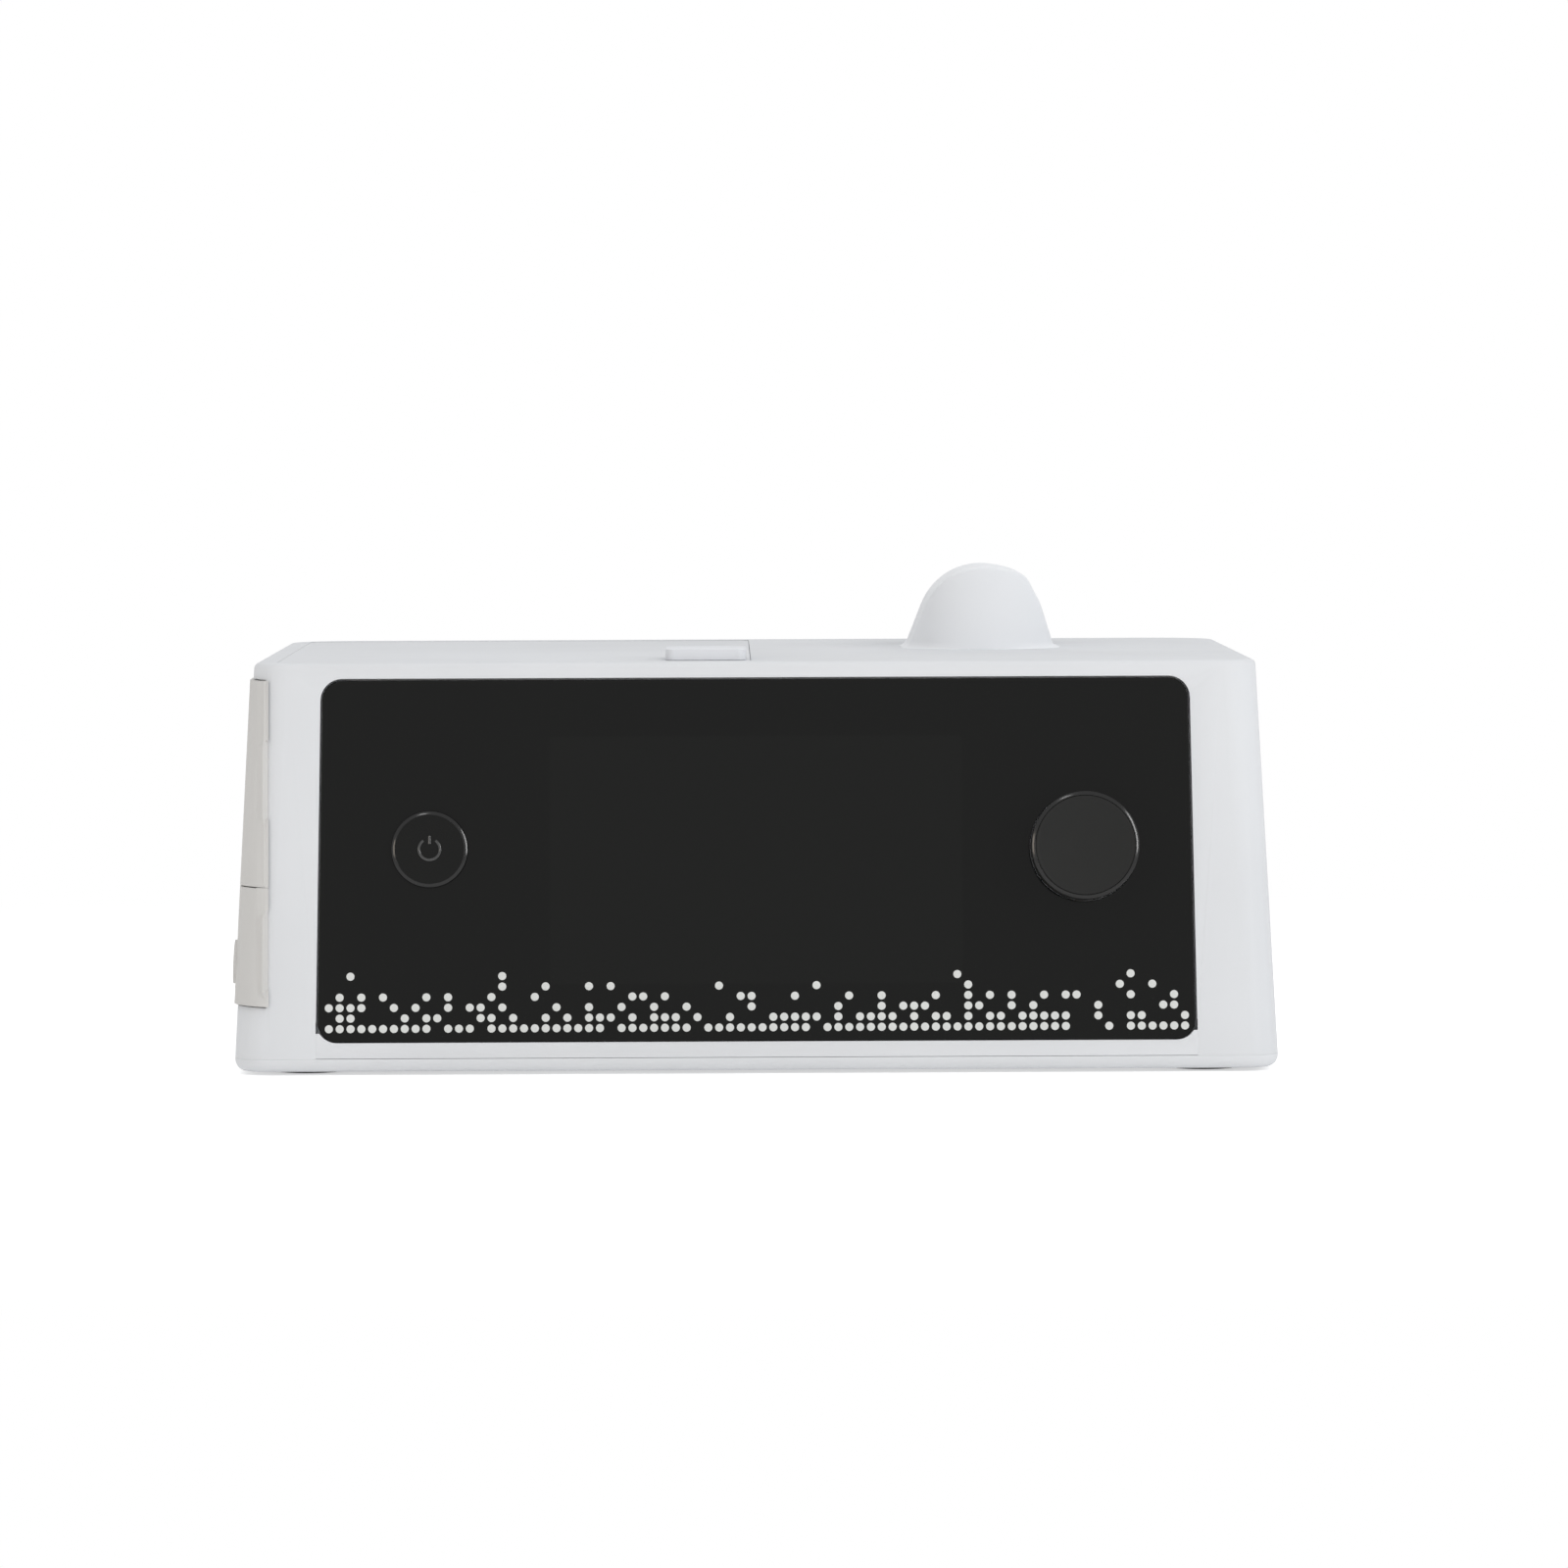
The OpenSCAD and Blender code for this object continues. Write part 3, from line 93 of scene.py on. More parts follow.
def looked_at(tree):
    """One for rays that show a surface, straight, in gloss or through clear parts, and
    nought for rays that only carry light."""
    path = tree.nodes.new("ShaderNodeLightPath")
    seen = path.outputs["Is Camera Ray"]
    for kind in ("Is Glossy Ray", "Is Transmission Ray"):
        either = tree.nodes.new("ShaderNodeMath")
        either.operation = "MAXIMUM"
        tree.links.new(seen, either.inputs[0])
        tree.links.new(path.outputs[kind], either.inputs[1])
        seen = either.outputs[0]
    return seen


def set_up(node, values):
    """Gives a node's inputs their fixed values by name."""
    for socket, value in values.items():
        node.inputs[socket].default_value = value


def room_light():
    """The room: white to the eye, in gloss and through clear parts. As a light it is dark
    at eye level and brightens to white overhead."""
    world = bpy.data.worlds.new("room")
    world.use_nodes = True
    bpy.context.scene.world = world
    nodes, links = world.node_tree.nodes, world.node_tree.links
    nodes.clear()
    out = nodes.new("ShaderNodeOutputWorld")
    seen = nodes.new("ShaderNodeBackground")
    set_up(seen, {"Color": (1, 1, 1, 1), "Strength": 1.0})
    lit = nodes.new("ShaderNodeBackground")
    set_up(lit, {"Color": (1, 1, 1, 1)})
    height = nodes.new("ShaderNodeTexCoord")
    split = nodes.new("ShaderNodeSeparateXYZ")
    ramp = nodes.new("ShaderNodeMapRange")
    set_up(ramp, {"From Min": 0.0, "From Max": 0.7, "To Min": 0.07, "To Max": 1.02})
    links.new(height.outputs["Generated"], split.inputs[0])
    links.new(split.outputs["Z"], ramp.inputs["Value"])
    links.new(ramp.outputs["Result"], lit.inputs["Strength"])
    mix = nodes.new("ShaderNodeMixShader")
    links.new(looked_at(world.node_tree), mix.inputs[0])
    links.new(lit.outputs[0], mix.inputs[1])
    links.new(seen.outputs[0], mix.inputs[2])
    links.new(mix.outputs[0], out.inputs["Surface"])


room_light()


def table_top():
    """A flat pale sheet, eight metres across. Near the machine it is lit paint with a
    little light of its own, more of it for the eye, so that it is white where no shadow
    falls, and from 0.15 to 0.6 m out it turns into the plain white of the room."""
    mesh = bpy.data.meshes.new("table")
    half = 4
    corners = [(-half, -half, 0), (half, -half, 0), (half, half, 0), (-half, half, 0)]
    mesh.from_pydata(corners, [], [(0, 1, 2, 3)])
    table = bpy.data.objects.new("table", mesh)
    bpy.context.scene.collection.objects.link(table)
    paint = bpy.data.materials.new("table_white")
    paint.use_nodes = True
    tree = paint.node_tree
    shader = tree.nodes["Principled BSDF"]
    set_up(shader, {"Base Color": (0.9, 0.9, 0.9, 1), "Roughness": 0.9, "Specular IOR Level": 0.1,
                    "Emission Color": (1, 1, 1, 1)})
    seen = looked_at(tree)
    glow = tree.nodes.new("ShaderNodeMath")
    glow.operation = "MULTIPLY_ADD"
    glow_seen, glow_always = 0.28, 0.16
    set_up(glow, {1: glow_seen, 2: glow_always})
    tree.links.new(seen, glow.inputs[0])
    tree.links.new(glow.outputs[0], shader.inputs["Emission Strength"])
    place = tree.nodes.new("ShaderNodeTexCoord")
    reach = tree.nodes.new("ShaderNodeVectorMath")
    reach.operation = "LENGTH"
    tree.links.new(place.outputs["Object"], reach.inputs[0])
    fade = tree.nodes.new("ShaderNodeMapRange")
    fade.interpolation_type = "SMOOTHSTEP"
    set_up(fade, {"From Min": 0.15, "From Max": 0.6, "To Min": 0.0, "To Max": 1.0})
    tree.links.new(reach.outputs["Value"], fade.inputs["Value"])
    share = tree.nodes.new("ShaderNodeMath")
    share.operation = "MULTIPLY"
    tree.links.new(seen, share.inputs[0])
    tree.links.new(fade.outputs["Result"], share.inputs[1])
    white = tree.nodes.new("ShaderNodeEmission")
    set_up(white, {"Strength": 1.0})
    mix = tree.nodes.new("ShaderNodeMixShader")
    tree.links.new(share.outputs[0], mix.inputs[0])
    tree.links.new(shader.outputs[0], mix.inputs[1])
    tree.links.new(white.outputs[0], mix.inputs[2])
    tree.links.new(mix.outputs[0], tree.nodes["Material Output"].inputs["Surface"])
    mesh.materials.append(paint)


table_top()


# The case

# Housing, base tray and front frame are injection moulded in matt white ABS with a fine
# spark-eroded grain, open at the front, over the humidifier and at the left side. The tray
# is screwed on from below, and all outside edges are broken by the mould.
def corners_of(node):
    """The lowest and the highest corner of a CAD solid in mm, to a micrometre."""
    return np.round(np.array(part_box(node)) * 1000, 3)


def speckle(tree, scale, detail, rough=0.5):
    """A noise texture on the piece's own coordinates, with features of 1/scale metres."""
    place = tree.nodes.new("ShaderNodeTexCoord")
    noise = tree.nodes.new("ShaderNodeTexNoise")
    set_up(noise, {"Scale": scale, "Detail": detail, "Roughness": rough})
    tree.links.new(place.outputs["Object"], noise.inputs["Vector"])
    return noise.outputs["Fac"]


def between(tree, value, low, high, from_low=0.3, from_high=0.7):
    """A value from the noise's usual range stretched to run from low to high."""
    ramp = tree.nodes.new("ShaderNodeMapRange")
    set_up(ramp, {"From Min": from_low, "From Max": from_high, "To Min": low, "To Max": high})
    tree.links.new(value, ramp.inputs["Value"])
    return ramp.outputs["Result"]


def tones(tree, value, dark, light):
    """A colour that runs from dark to light with a value."""
    mix = tree.nodes.new("ShaderNodeMix")
    mix.data_type = "RGBA"
    set_up(mix, {"A": (*dark, 1), "B": (*light, 1)})
    tree.links.new(value, mix.inputs["Factor"])
    return mix.outputs["Result"]


def roughen(tree, height, depth):
    """Bump of that depth in metres from a height, into the shader's normal."""
    bump = tree.nodes.new("ShaderNodeBump")
    set_up(bump, {"Distance": depth, "Strength": 1.0})
    tree.links.new(height, bump.inputs["Height"])
    tree.links.new(bump.outputs["Normal"], tree.nodes["Principled BSDF"].inputs["Normal"])


def srgb(*levels):
    """A colour given as 0 to 255 screen levels, as the linear numbers that a shader takes."""
    c = np.array(levels, float) / 255
    return tuple(np.where(c <= 0.04045, c / 12.92, ((c + 0.055) / 1.055) ** 2.4))


def new_finish(name, values):
    """A new material, with its node tree and its main shader set to fixed values."""
    finish = bpy.data.materials.new(name)
    finish.use_nodes = True
    shader = finish.node_tree.nodes["Principled BSDF"]
    set_up(shader, values)
    return finish, finish.node_tree, shader


def moulded(name, colour, gloss_low, gloss_high, grain=0.0002, depth=0.000012, drift=0.03,
            shine=0.5):
    """Moulded plastic: its colour drifts a little over centimetres, its roughness runs
    between two values, its grain is fine noise of the given size and depth, and shine is
    how much it reflects."""
    finish, tree, shader = new_finish(name, {"IOR": 1.5, "Specular IOR Level": shine})
    light = np.array(colour)
    clouds = between(tree, speckle(tree, scale=28, detail=3), 0, 1)
    patches = between(tree, speckle(tree, scale=160, detail=4), gloss_low, gloss_high)
    colour_of = tones(tree, clouds, tuple(light * (1 - drift)), tuple(light))
    tree.links.new(colour_of, shader.inputs["Base Color"])
    tree.links.new(patches, shader.inputs["Roughness"])
    roughen(tree, speckle(tree, scale=1 / grain, detail=2, rough=0.6), depth)
    return finish


def finish_of(made, finish):
    """Gives a piece or a CAD solid one finish all over."""
    made.data.materials.clear()
    made.data.materials.append(finish)


def merged_copy(node):
    """A copy of a CAD solid with its loose triangles joined and its flat faces made whole."""
    shape = bmesh.new()
    shape.from_mesh(node_object[node].data)
    bmesh.ops.remove_doubles(shape, verts=shape.verts, dist=2e-6)
    bmesh.ops.dissolve_limit(shape, angle_limit=math.radians(0.5), verts=shape.verts,
                             edges=shape.edges)
    mesh = bpy.data.meshes.new(node)
    shape.to_mesh(mesh)
    shape.free()
    mesh.shade_smooth()
    return mesh


def copied(name, node, finish, body):
    """A piece that stands for a CAD solid: its merged copy, with a finish of its own."""
    made = bpy.data.objects.new(name, merged_copy(node))
    bpy.context.scene.collection.objects.link(made)
    finish_of(made, finish)
    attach(made, body)
    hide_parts(node)
    return made


def eased(node, finish, body, width=0.0003, rings=2):
    """The moulded part as made: the CAD solid with every sharp edge rounded by the given
    width in metres and its flat faces kept flat in shade."""
    made = copied(node + "_moulding", node, finish, body)
    bevel = made.modifiers.new("eased_edges", "BEVEL")
    bevel.width, bevel.segments = width, rings
    bevel.limit_method, bevel.angle_limit = "ANGLE", math.radians(32)
    bevel.use_clamp_overlap = True
    bevel.miter_outer = "MITER_ARC"
    bevel.harden_normals = True
    return made


def moved_to(made, height, choose):
    """Brings the chosen points of a copied solid to one height in metres."""
    corners = np.empty((len(made.data.vertices), 3), np.float32)
    made.data.vertices.foreach_get("co", corners.ravel())
    corners[choose(*corners.T), 2] = height
    made.data.vertices.foreach_set("co", corners.ravel())


shell_white = moulded("shell_white", srgb(218, 220, 223), 0.62, 0.72, shine=0.12)
eased("main_housing", shell_white, "case", 0.0002)
eased("base_tray", shell_white, "case", 0.0003)

# The front frame closes up to the housing and its lower edge to the tray, to thin seams.
HOUSING_LOW = corners_of("main_housing")[0]
FASCIA_GROWTH, FASCIA_SEAM = 1.0018, 0.0001
EDGE_TOP, EDGE_BACK = 0.0048, -0.091
fascia = eased("front_fascia", shell_white, "case", 0.0001)
fascia.data.transform(Matrix.Diagonal((FASCIA_GROWTH, 1, 1, 1)))
moved_to(fascia, HOUSING_LOW[2] / 1000 + FASCIA_SEAM, lambda x, y, z: (z < EDGE_TOP) & (y < EDGE_BACK))


# The front panel

# One sheet of hard acrylic, 2 mm thick, printed black behind and stuck to the front frame.
# Its rim and its two holes have polished edges, and its face lies half a millimetre below
# the white rim around it.
FRONT_SLOPE, SIDE_SLOPE = 0.1, 0.05
LEAN = math.atan(FRONT_SLOPE)
FRONT_FOOT = HOUSING_LOW[1] - FRONT_SLOPE * HOUSING_LOW[2]
PANEL_FACE, PANEL_THICKNESS = -0.5, 2
PANEL_LOW, PANEL_HIGH = 7.6, 89.7
PANEL_HALF_LOW, PANEL_HALF_HIGH = 99.5, 98.2
PANEL_CORNER = 4.5
KNOB_HOLE, BUTTON_HOLE, HOLE_EASE = 12.36, 8.68, 0.3
joint = {each["name"]: each for each in frame["joints"]}


def on_face(points):
    """Points given in mm across the front, up its slope and out of it, as points in metres."""
    across, up, out = np.moveaxis(np.asarray(points, float), -1, 0)
    return np.stack([across, FRONT_FOOT + up * math.sin(LEAN) - out * math.cos(LEAN),
                     up * math.cos(LEAN) + out * math.sin(LEAN)], -1) / 1000


def up_slope(point):
    """How far in mm a point of the frame in metres lies up the front's slope."""
    return round(1000 * (point[1] * math.sin(LEAN) + point[2] * math.cos(LEAN))
                 - FRONT_FOOT * math.sin(LEAN), 3)


KNOB_AXIS = joint["knob_turn"]["pos_m"]
KNOB_AT = (KNOB_AXIS[0] * 1000, up_slope(KNOB_AXIS))
BUTTON_AT = (corners_of("power_button")[:, 0].mean(), KNOB_AT[1])


def bend(centre, radius, start, end, steps=9):
    """Points in mm on an arc about a centre, from one angle in degrees to another."""
    angle = np.radians(np.linspace(start, end, steps))
    return np.stack([centre[0] + radius * np.cos(angle), centre[1] + radius * np.sin(angle)], -1)


def quads(grid, around=True):
    """The points of a grid and the four-sided faces between its neighbouring rows and
    columns, the last column joined to the first where it goes around."""
    rows, columns = grid.shape[:2]
    index = np.arange(rows * columns).reshape(rows, columns)
    if around:
        index = np.concatenate([index, index[:, :1]], 1)
    faces = np.stack([index[:-1, :-1], index[:-1, 1:], index[1:, 1:], index[1:, :-1]], -1)
    return grid.reshape(-1, 3), faces.reshape(-1, 4)


def flat_fill(loops):
    """The points of an outline and of the holes in it, and triangles that fill the flat
    space between them."""
    faces = tessellate_polygon([[Vector(p) for p in loop] for loop in loops])
    return np.concatenate(loops), np.array(faces)


def piece(name, surfaces, finish, body, crease=35):
    """One object from several surfaces in metres: joined where they meet, turned outwards,
    and smooth in shade up to the crease angle in degrees."""
    starts = np.cumsum([0] + [len(points) for points, _ in surfaces])
    faces = [f for (_, part), start in zip(surfaces, starts) for f in (np.asarray(part) + start).tolist()]
    mesh = bpy.data.meshes.new(name)
    mesh.from_pydata(np.concatenate([points for points, _ in surfaces]).tolist(), [], faces)
    shape = bmesh.new()
    shape.from_mesh(mesh)
    bmesh.ops.remove_doubles(shape, verts=shape.verts, dist=1e-6)
    bmesh.ops.dissolve_degenerate(shape, edges=shape.edges, dist=1e-7)
    bmesh.ops.recalc_face_normals(shape, faces=shape.faces)
    shape.to_mesh(mesh)
    shape.free()
    mesh.shade_smooth()
    mesh.set_sharp_from_angle(angle=math.radians(crease))
    made = bpy.data.objects.new(name, mesh)
    bpy.context.scene.collection.objects.link(made)
    level = made.modifiers.new("flat_faces_stay_flat", "WEIGHTED_NORMAL")
    level.keep_sharp, level.weight = True, 100
    finish_of(made, finish)
    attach(made, body)
    return made


def panel_outline(inset):
    """The panel's outline in mm, drawn in by inset: a trapezium a little wider below, with
    round corners."""
    low, high = PANEL_LOW + inset, PANEL_HIGH - inset
    radius = PANEL_CORNER - inset
    taper = (PANEL_HALF_LOW - PANEL_HALF_HIGH) / (PANEL_HIGH - PANEL_LOW)
    tilt = math.degrees(math.atan(taper))
    middle_low = PANEL_HALF_LOW - inset - taper * radius - radius / math.cos(math.atan(taper))
    middle_high = middle_low - taper * (high - low - 2 * radius)
    right = np.concatenate([bend((middle_low, low + radius), radius, -90, tilt),
                            bend((middle_high, high - radius), radius, tilt, 90)])
    return np.concatenate([right, right[::-1] * (-1, 1)])


def ring(centre, radius, steps=96):
    """Points in mm around a circle."""
    return bend(centre, radius, 0, 360 * (1 - 1 / steps), steps)


def pierced_plate(outline, holes, low, high, ease, place):
    """A flat plate between two heights in mm: walls along the outline and the holes, each
    ending in a quarter round of radius ease at the top, and flat faces between them. The
    outline and each hole are given as functions of how far they have been cut back."""
    turn = np.linspace(0, math.pi / 2, 5)
    cut = np.concatenate([[0], ease * (1 - np.cos(turn))])
    height = np.concatenate([[low], high - ease + ease * np.sin(turn)])
    surfaces, first, last = [], [], []
    for edge in (outline, *holes):
        rings = np.stack([np.insert(edge(c), 2, h, axis=1) for c, h in zip(cut, height)])
        surfaces.append(quads(place(rings)))
        first.append(rings[0])
        last.append(rings[-1])
    for loops in (first, last):
        points, faces = flat_fill(loops)
        surfaces.append((place(points), faces))
    return surfaces


black_acrylic = moulded("black_acrylic", (0.0027, 0.0029, 0.0025), 0.06, 0.1,
                        grain=0.004, depth=0.0, drift=0.1, shine=0.18)
panel_holes = [lambda cut: ring(KNOB_AT, KNOB_HOLE + HOLE_EASE * cut),
               lambda cut: ring(BUTTON_AT, BUTTON_HOLE + HOLE_EASE * cut)]
panel_sheet = pierced_plate(panel_outline, panel_holes, PANEL_FACE - PANEL_THICKNESS, PANEL_FACE,
                            0.25, on_face)
lens = piece("panel_black", panel_sheet, black_acrylic, "case")
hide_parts("front_lens")


# The display window

# The clear window in the black print, with the dark 4.3-inch display bonded behind it. It
# is off, so it is only a little greyer than the print around it.
def block_outline(x, y, radius):
    """The outline of a round-cornered block between two x and two y values, as a function
    of how far it is cut back."""
    def edge(inset):
        """Four arcs in turn, one about each corner's middle."""
        r = max(radius - inset, 0.05)
        x0, x1, y0, y1 = x[0] + inset + r, x[1] - inset - r, y[0] + inset + r, y[1] - inset - r
        return np.concatenate([bend((x1, y0), r, -90, 0), bend((x1, y1), r, 0, 90),
                               bend((x0, y1), r, 90, 180), bend((x0, y0), r, 180, 270)])
    return edge


SCREEN_ACROSS, SCREEN_UP, SCREEN_CORNER = (-46.8, 46.8), (20.6, 76.8), 0.8
display_dark = moulded("display_dark", (0.0036, 0.0039, 0.0034), 0.1, 0.13,
                       grain=0.003, depth=0.0, drift=0.06, shine=0.185)
window = pierced_plate(block_outline(SCREEN_ACROSS, SCREEN_UP, SCREEN_CORNER), [],
                       PANEL_FACE - 0.02, PANEL_FACE + 0.012, 0.008, on_face)
piece("display_window", window, display_dark, "case")


# The printed dots

# A band of dots printed in white ink along the foot of the panel, on a nearly square
# pitch: the lowest row is nearly full and the rows thin out upwards. Which places are
# filled comes from seeded numbers, so the band belongs to this object alone.
DOT_ROWS, DOT_COLUMNS = 6, 80
DOT_START, DOT_PITCH = (-96.9, 10.65), (2.455, 2.375)


def dot_places():
    """Centres in mm of the printed dots: each place in a row is filled by chance. The share
    that is filled falls from row to row, and swells and fades along the band."""
    chance = np.random.default_rng(87)
    share = np.array([0.84, 0.57, 0.44, 0.28, 0.09, 0.05])[:, None]
    across = np.arange(DOT_COLUMNS)
    swell = 1 + 0.45 * np.cos(across / 9.5) * np.array([0.1, 0.5, 0.7, 1, 1, 1])[:, None]
    row, column = np.nonzero(chance.random((DOT_ROWS, DOT_COLUMNS)) < share * swell)
    return np.stack([DOT_START[0] + DOT_PITCH[0] * column, DOT_START[1] + DOT_PITCH[1] * row,
                     0 * row], -1)


def turned(profile, steps):
    """A profile of (radius, height) pairs in mm turned about its height axis, as a grid
    with one row for each pair."""
    profile = np.asarray(profile, float)
    angle = np.linspace(0, 2 * np.pi, steps, endpoint=False)
    radius, height = profile[:, :1], profile[:, 1:]
    return np.stack([radius * np.cos(angle), radius * np.sin(angle), height + 0 * angle], -1)


def repeated(points, faces, spots):
    """The points and faces of one small shape set down again at each of the spots."""
    starts = len(points) * np.arange(len(spots))
    return (points + spots[:, None]).reshape(-1, 3), (faces + starts[:, None, None]).reshape(-1, 4)


white_ink = moulded("white_ink", srgb(212, 214, 212), 0.45, 0.6, grain=0.00015, depth=0.000004,
                    drift=0.06)
dot_profile = [(0, -0.505), (0.925, -0.505), (0.92, -0.48), (0.88, -0.47), (0, -0.465)]
dot_points, dot_faces = repeated(*quads(turned(dot_profile, 20)), dot_places())
piece("printed_dots", [(on_face(dot_points), dot_faces)], white_ink, "case", 60)


# The knob

# A turning and pressing knob: a satin nylon cap with a smooth side and a dished face, and
# a polished black trim ring with a flat slanted face let into its edge.
def softened(corners, radius, steps):
    """A profile in mm whose corners are rounded: each is swapped for a short curve that
    starts and ends one radius away from it along its two sides."""
    corners = np.asarray(corners, float)
    before, corner, after = corners[:-2], corners[1:-1], corners[2:]

    def towards(other):
        """Points one radius from the corners on the way to others, or 0.45 of a short way."""
        way = other - corner
        length = np.linalg.norm(way, axis=1, keepdims=True)
        return corner + way / length * np.minimum(radius, 0.45 * length)

    start, end = towards(before), towards(after)
    t = np.linspace(0, 1, steps)[:, None, None]
    curve = (1 - t) ** 2 * start + 2 * t * (1 - t) * corner + t ** 2 * end
    return np.concatenate([corners[:1], curve.transpose(1, 0, 2).reshape(-1, 2), corners[-1:]])


def on_knob(points):
    """Points in mm about the knob's own axis, as points of the frame in metres."""
    return on_face(np.asarray(points) + (*KNOB_AT, 0))


knob_black = moulded("knob_black", (0.0095, 0.0098, 0.0092), 0.4, 0.5,
                     grain=0.00016, depth=0.000012, drift=0.08, shine=0.24)
cap_profile = softened([(0, -1.3), (12.1, -1.3), (12.15, 0.7), (12.22, 4), (12.22, 7.0), (12.1, 7.4),
                        (11.3, 7.45), (11.25, 8.32), (10.6, 8.2), (7, 7.9), (3, 7.68), (0, 7.6)], 0.18, 4)
cap = piece("knob_moulding", [quads(on_knob(turned(cap_profile, 192)))], knob_black, "knob", 50)
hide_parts("knob_cap")

trim_profile = softened([(11.8, 7.4), (12.2, 7.4), (12.2, 8.08), (11.42, 8.4), (11.3, 8.3), (11.3, 7.4),
                         (11.8, 7.4)], 0.09, 4)
gloss_black = moulded("gloss_black", (0.0015, 0.0015, 0.0015), 0.13, 0.17,
                      grain=0.0004, depth=0.0, drift=0.1, shine=0.42)
piece("knob_trim_ring", [quads(on_knob(turned(trim_profile, 160)))], gloss_black, "knob", 30)


# The power button

# A round button in black ABS that sits almost flush in the panel, with a polished narrow
# edge, a slightly dished face and the usual standby sign raised in its middle.
def on_button(points):
    """Points in mm about the button's own axis, as points of the frame in metres."""
    return on_face(np.asarray(points) + (*BUTTON_AT, 0))


def carried(path, radius, flat, sides=10):
    """A round line carried along a path of points in mm that lies level: each cross-section
    is a circle of the given radius, pressed flat upwards, and it closes to a point at both
    ends."""
    path = np.asarray(path, float)
    way = np.gradient(path, axis=0)
    way /= np.linalg.norm(way, axis=1, keepdims=True)
    size = np.pad(np.full(len(path), radius), 1)
    path, way = (np.concatenate([rows[:1], rows, rows[-1:]]) for rows in (path, way))
    side = np.stack([-way[:, 1], way[:, 0], 0 * way[:, 0]], -1)
    angle = np.linspace(0, 2 * np.pi, sides, endpoint=False)[:, None]
    up = np.array([0, 0, flat])
    return path[:, None] + size[:, None, None] * (np.cos(angle) * side[:, None] + np.sin(angle) * up)


button_black = moulded("button_black", (0.0036, 0.0038, 0.0034), 0.22, 0.3,
                       grain=0.00016, depth=0.000001, drift=0.08, shine=0.18)
button_profile = softened([(0, -4.5), (2, -4.5), (2, -3.6), (9.95, -3.6), (9.95, -2.7), (8.65, -2.7),
                           (8.65, -0.2), (7.9, -0.2), (7.85, 0.46), (7.6, 0.44), (5, 0.25),
                           (0, 0.15)], 0.08, 4)
button = piece("power_button_moulding", [quads(on_button(turned(button_profile, 128)))],
               button_black, "button", 40)
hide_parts("power_button")
rim_profile = softened([(8.3, -0.25), (8.65, -0.25), (8.65, 0.22), (7.88, 0.54), (7.8, 0.45), (7.8, -0.25),
                        (8.3, -0.25)], 0.07, 4)
piece("button_rim", [quads(on_button(turned(rim_profile, 128)))], gloss_black, "button", 30)
SIGN_HEIGHT, SIGN_RADIUS, SIGN_LINE = 0.24, 2.4, 0.34
sign_ring = np.insert(bend((0, 0), SIGN_RADIUS, 125, 415, 60), 2, SIGN_HEIGHT, axis=1)
sign_bar = np.linspace((0, 1.2, SIGN_HEIGHT), (0, 3.0, SIGN_HEIGHT), 12)
sign_gloss = moulded("sign_gloss", (0.002, 0.002, 0.002), 0.14, 0.2,
                     grain=0.0004, depth=0.0, drift=0.05, shine=0.9)
sign_lines = [quads(on_button(carried(line, SIGN_LINE, flat=0.6))) for line in (sign_ring, sign_bar)]
piece("standby_sign", sign_lines, sign_gloss, "button", 60)


# The outlet cowl

# The hood over the outlet: a thin ABS shell, round in plan at its front, arched across and
# cut off flat behind, where the hose port comes out of it. It is welded to the housing.
# The cowl's white is lighter than the housing's: painted light, for the brighter light that falls on the cowl.
cowl_painted_light = moulded("cowl_painted_light", srgb(236, 238, 241), 0.62, 0.72, shine=0.12)
COWL_LOW, COWL_HIGH = corners_of("outlet_cowl")
PLAN_RADIUS = (COWL_HIGH[0] - COWL_LOW[0]) / 2
PLAN_MIDDLE = COWL_LOW[1] + PLAN_RADIUS
COWL_FOOT = COWL_LOW[2] - 0.05
CROWN_RADIUS, CROWN_HEIGHT = 14.8, 5
FLANK, FLANK_TOP = math.radians(69.9), math.radians(36)
SHOULDER, SHOULDER_AT = 0.9, math.radians(61)
EDGE_POWER, FOOT_RADIUS, BACK_EDGE = 90, 1.7, 0.9
mount = {each["name"]: each for each in frame["record"]["mounts"]}
PORT_X, PORT_Z = (1000 * mount["hose_port"]["pos_m"][k] for k in (0, 2))
PORT_HOLE = mount["hose_port"]["dims"]["r_mm"] + 0.3


def arch_reach(angle):
    """Distance in mm from the middle of the arch's foot to its outline, by the angle above
    the table: a crown of radius 14.8 round a point 5 mm up, and below it straight flanks
    that lean in by 20 degrees. A bell curve over the angle, steeper outwards, adds a slight
    shoulder on the right."""
    rise = np.minimum(angle, math.pi - angle)
    flank = PLAN_RADIUS * np.sin(FLANK) / np.sin(math.pi - FLANK - rise)
    crown = CROWN_HEIGHT * np.sin(angle) + np.sqrt(CROWN_RADIUS ** 2 - (CROWN_HEIGHT * np.cos(angle)) ** 2)
    past = angle - SHOULDER_AT
    shoulder = SHOULDER * np.exp(-(past / np.where(past > 0, 0.22, 0.13)) ** 2)
    return np.where(rise < FLANK_TOP, flank, crown) + shoulder


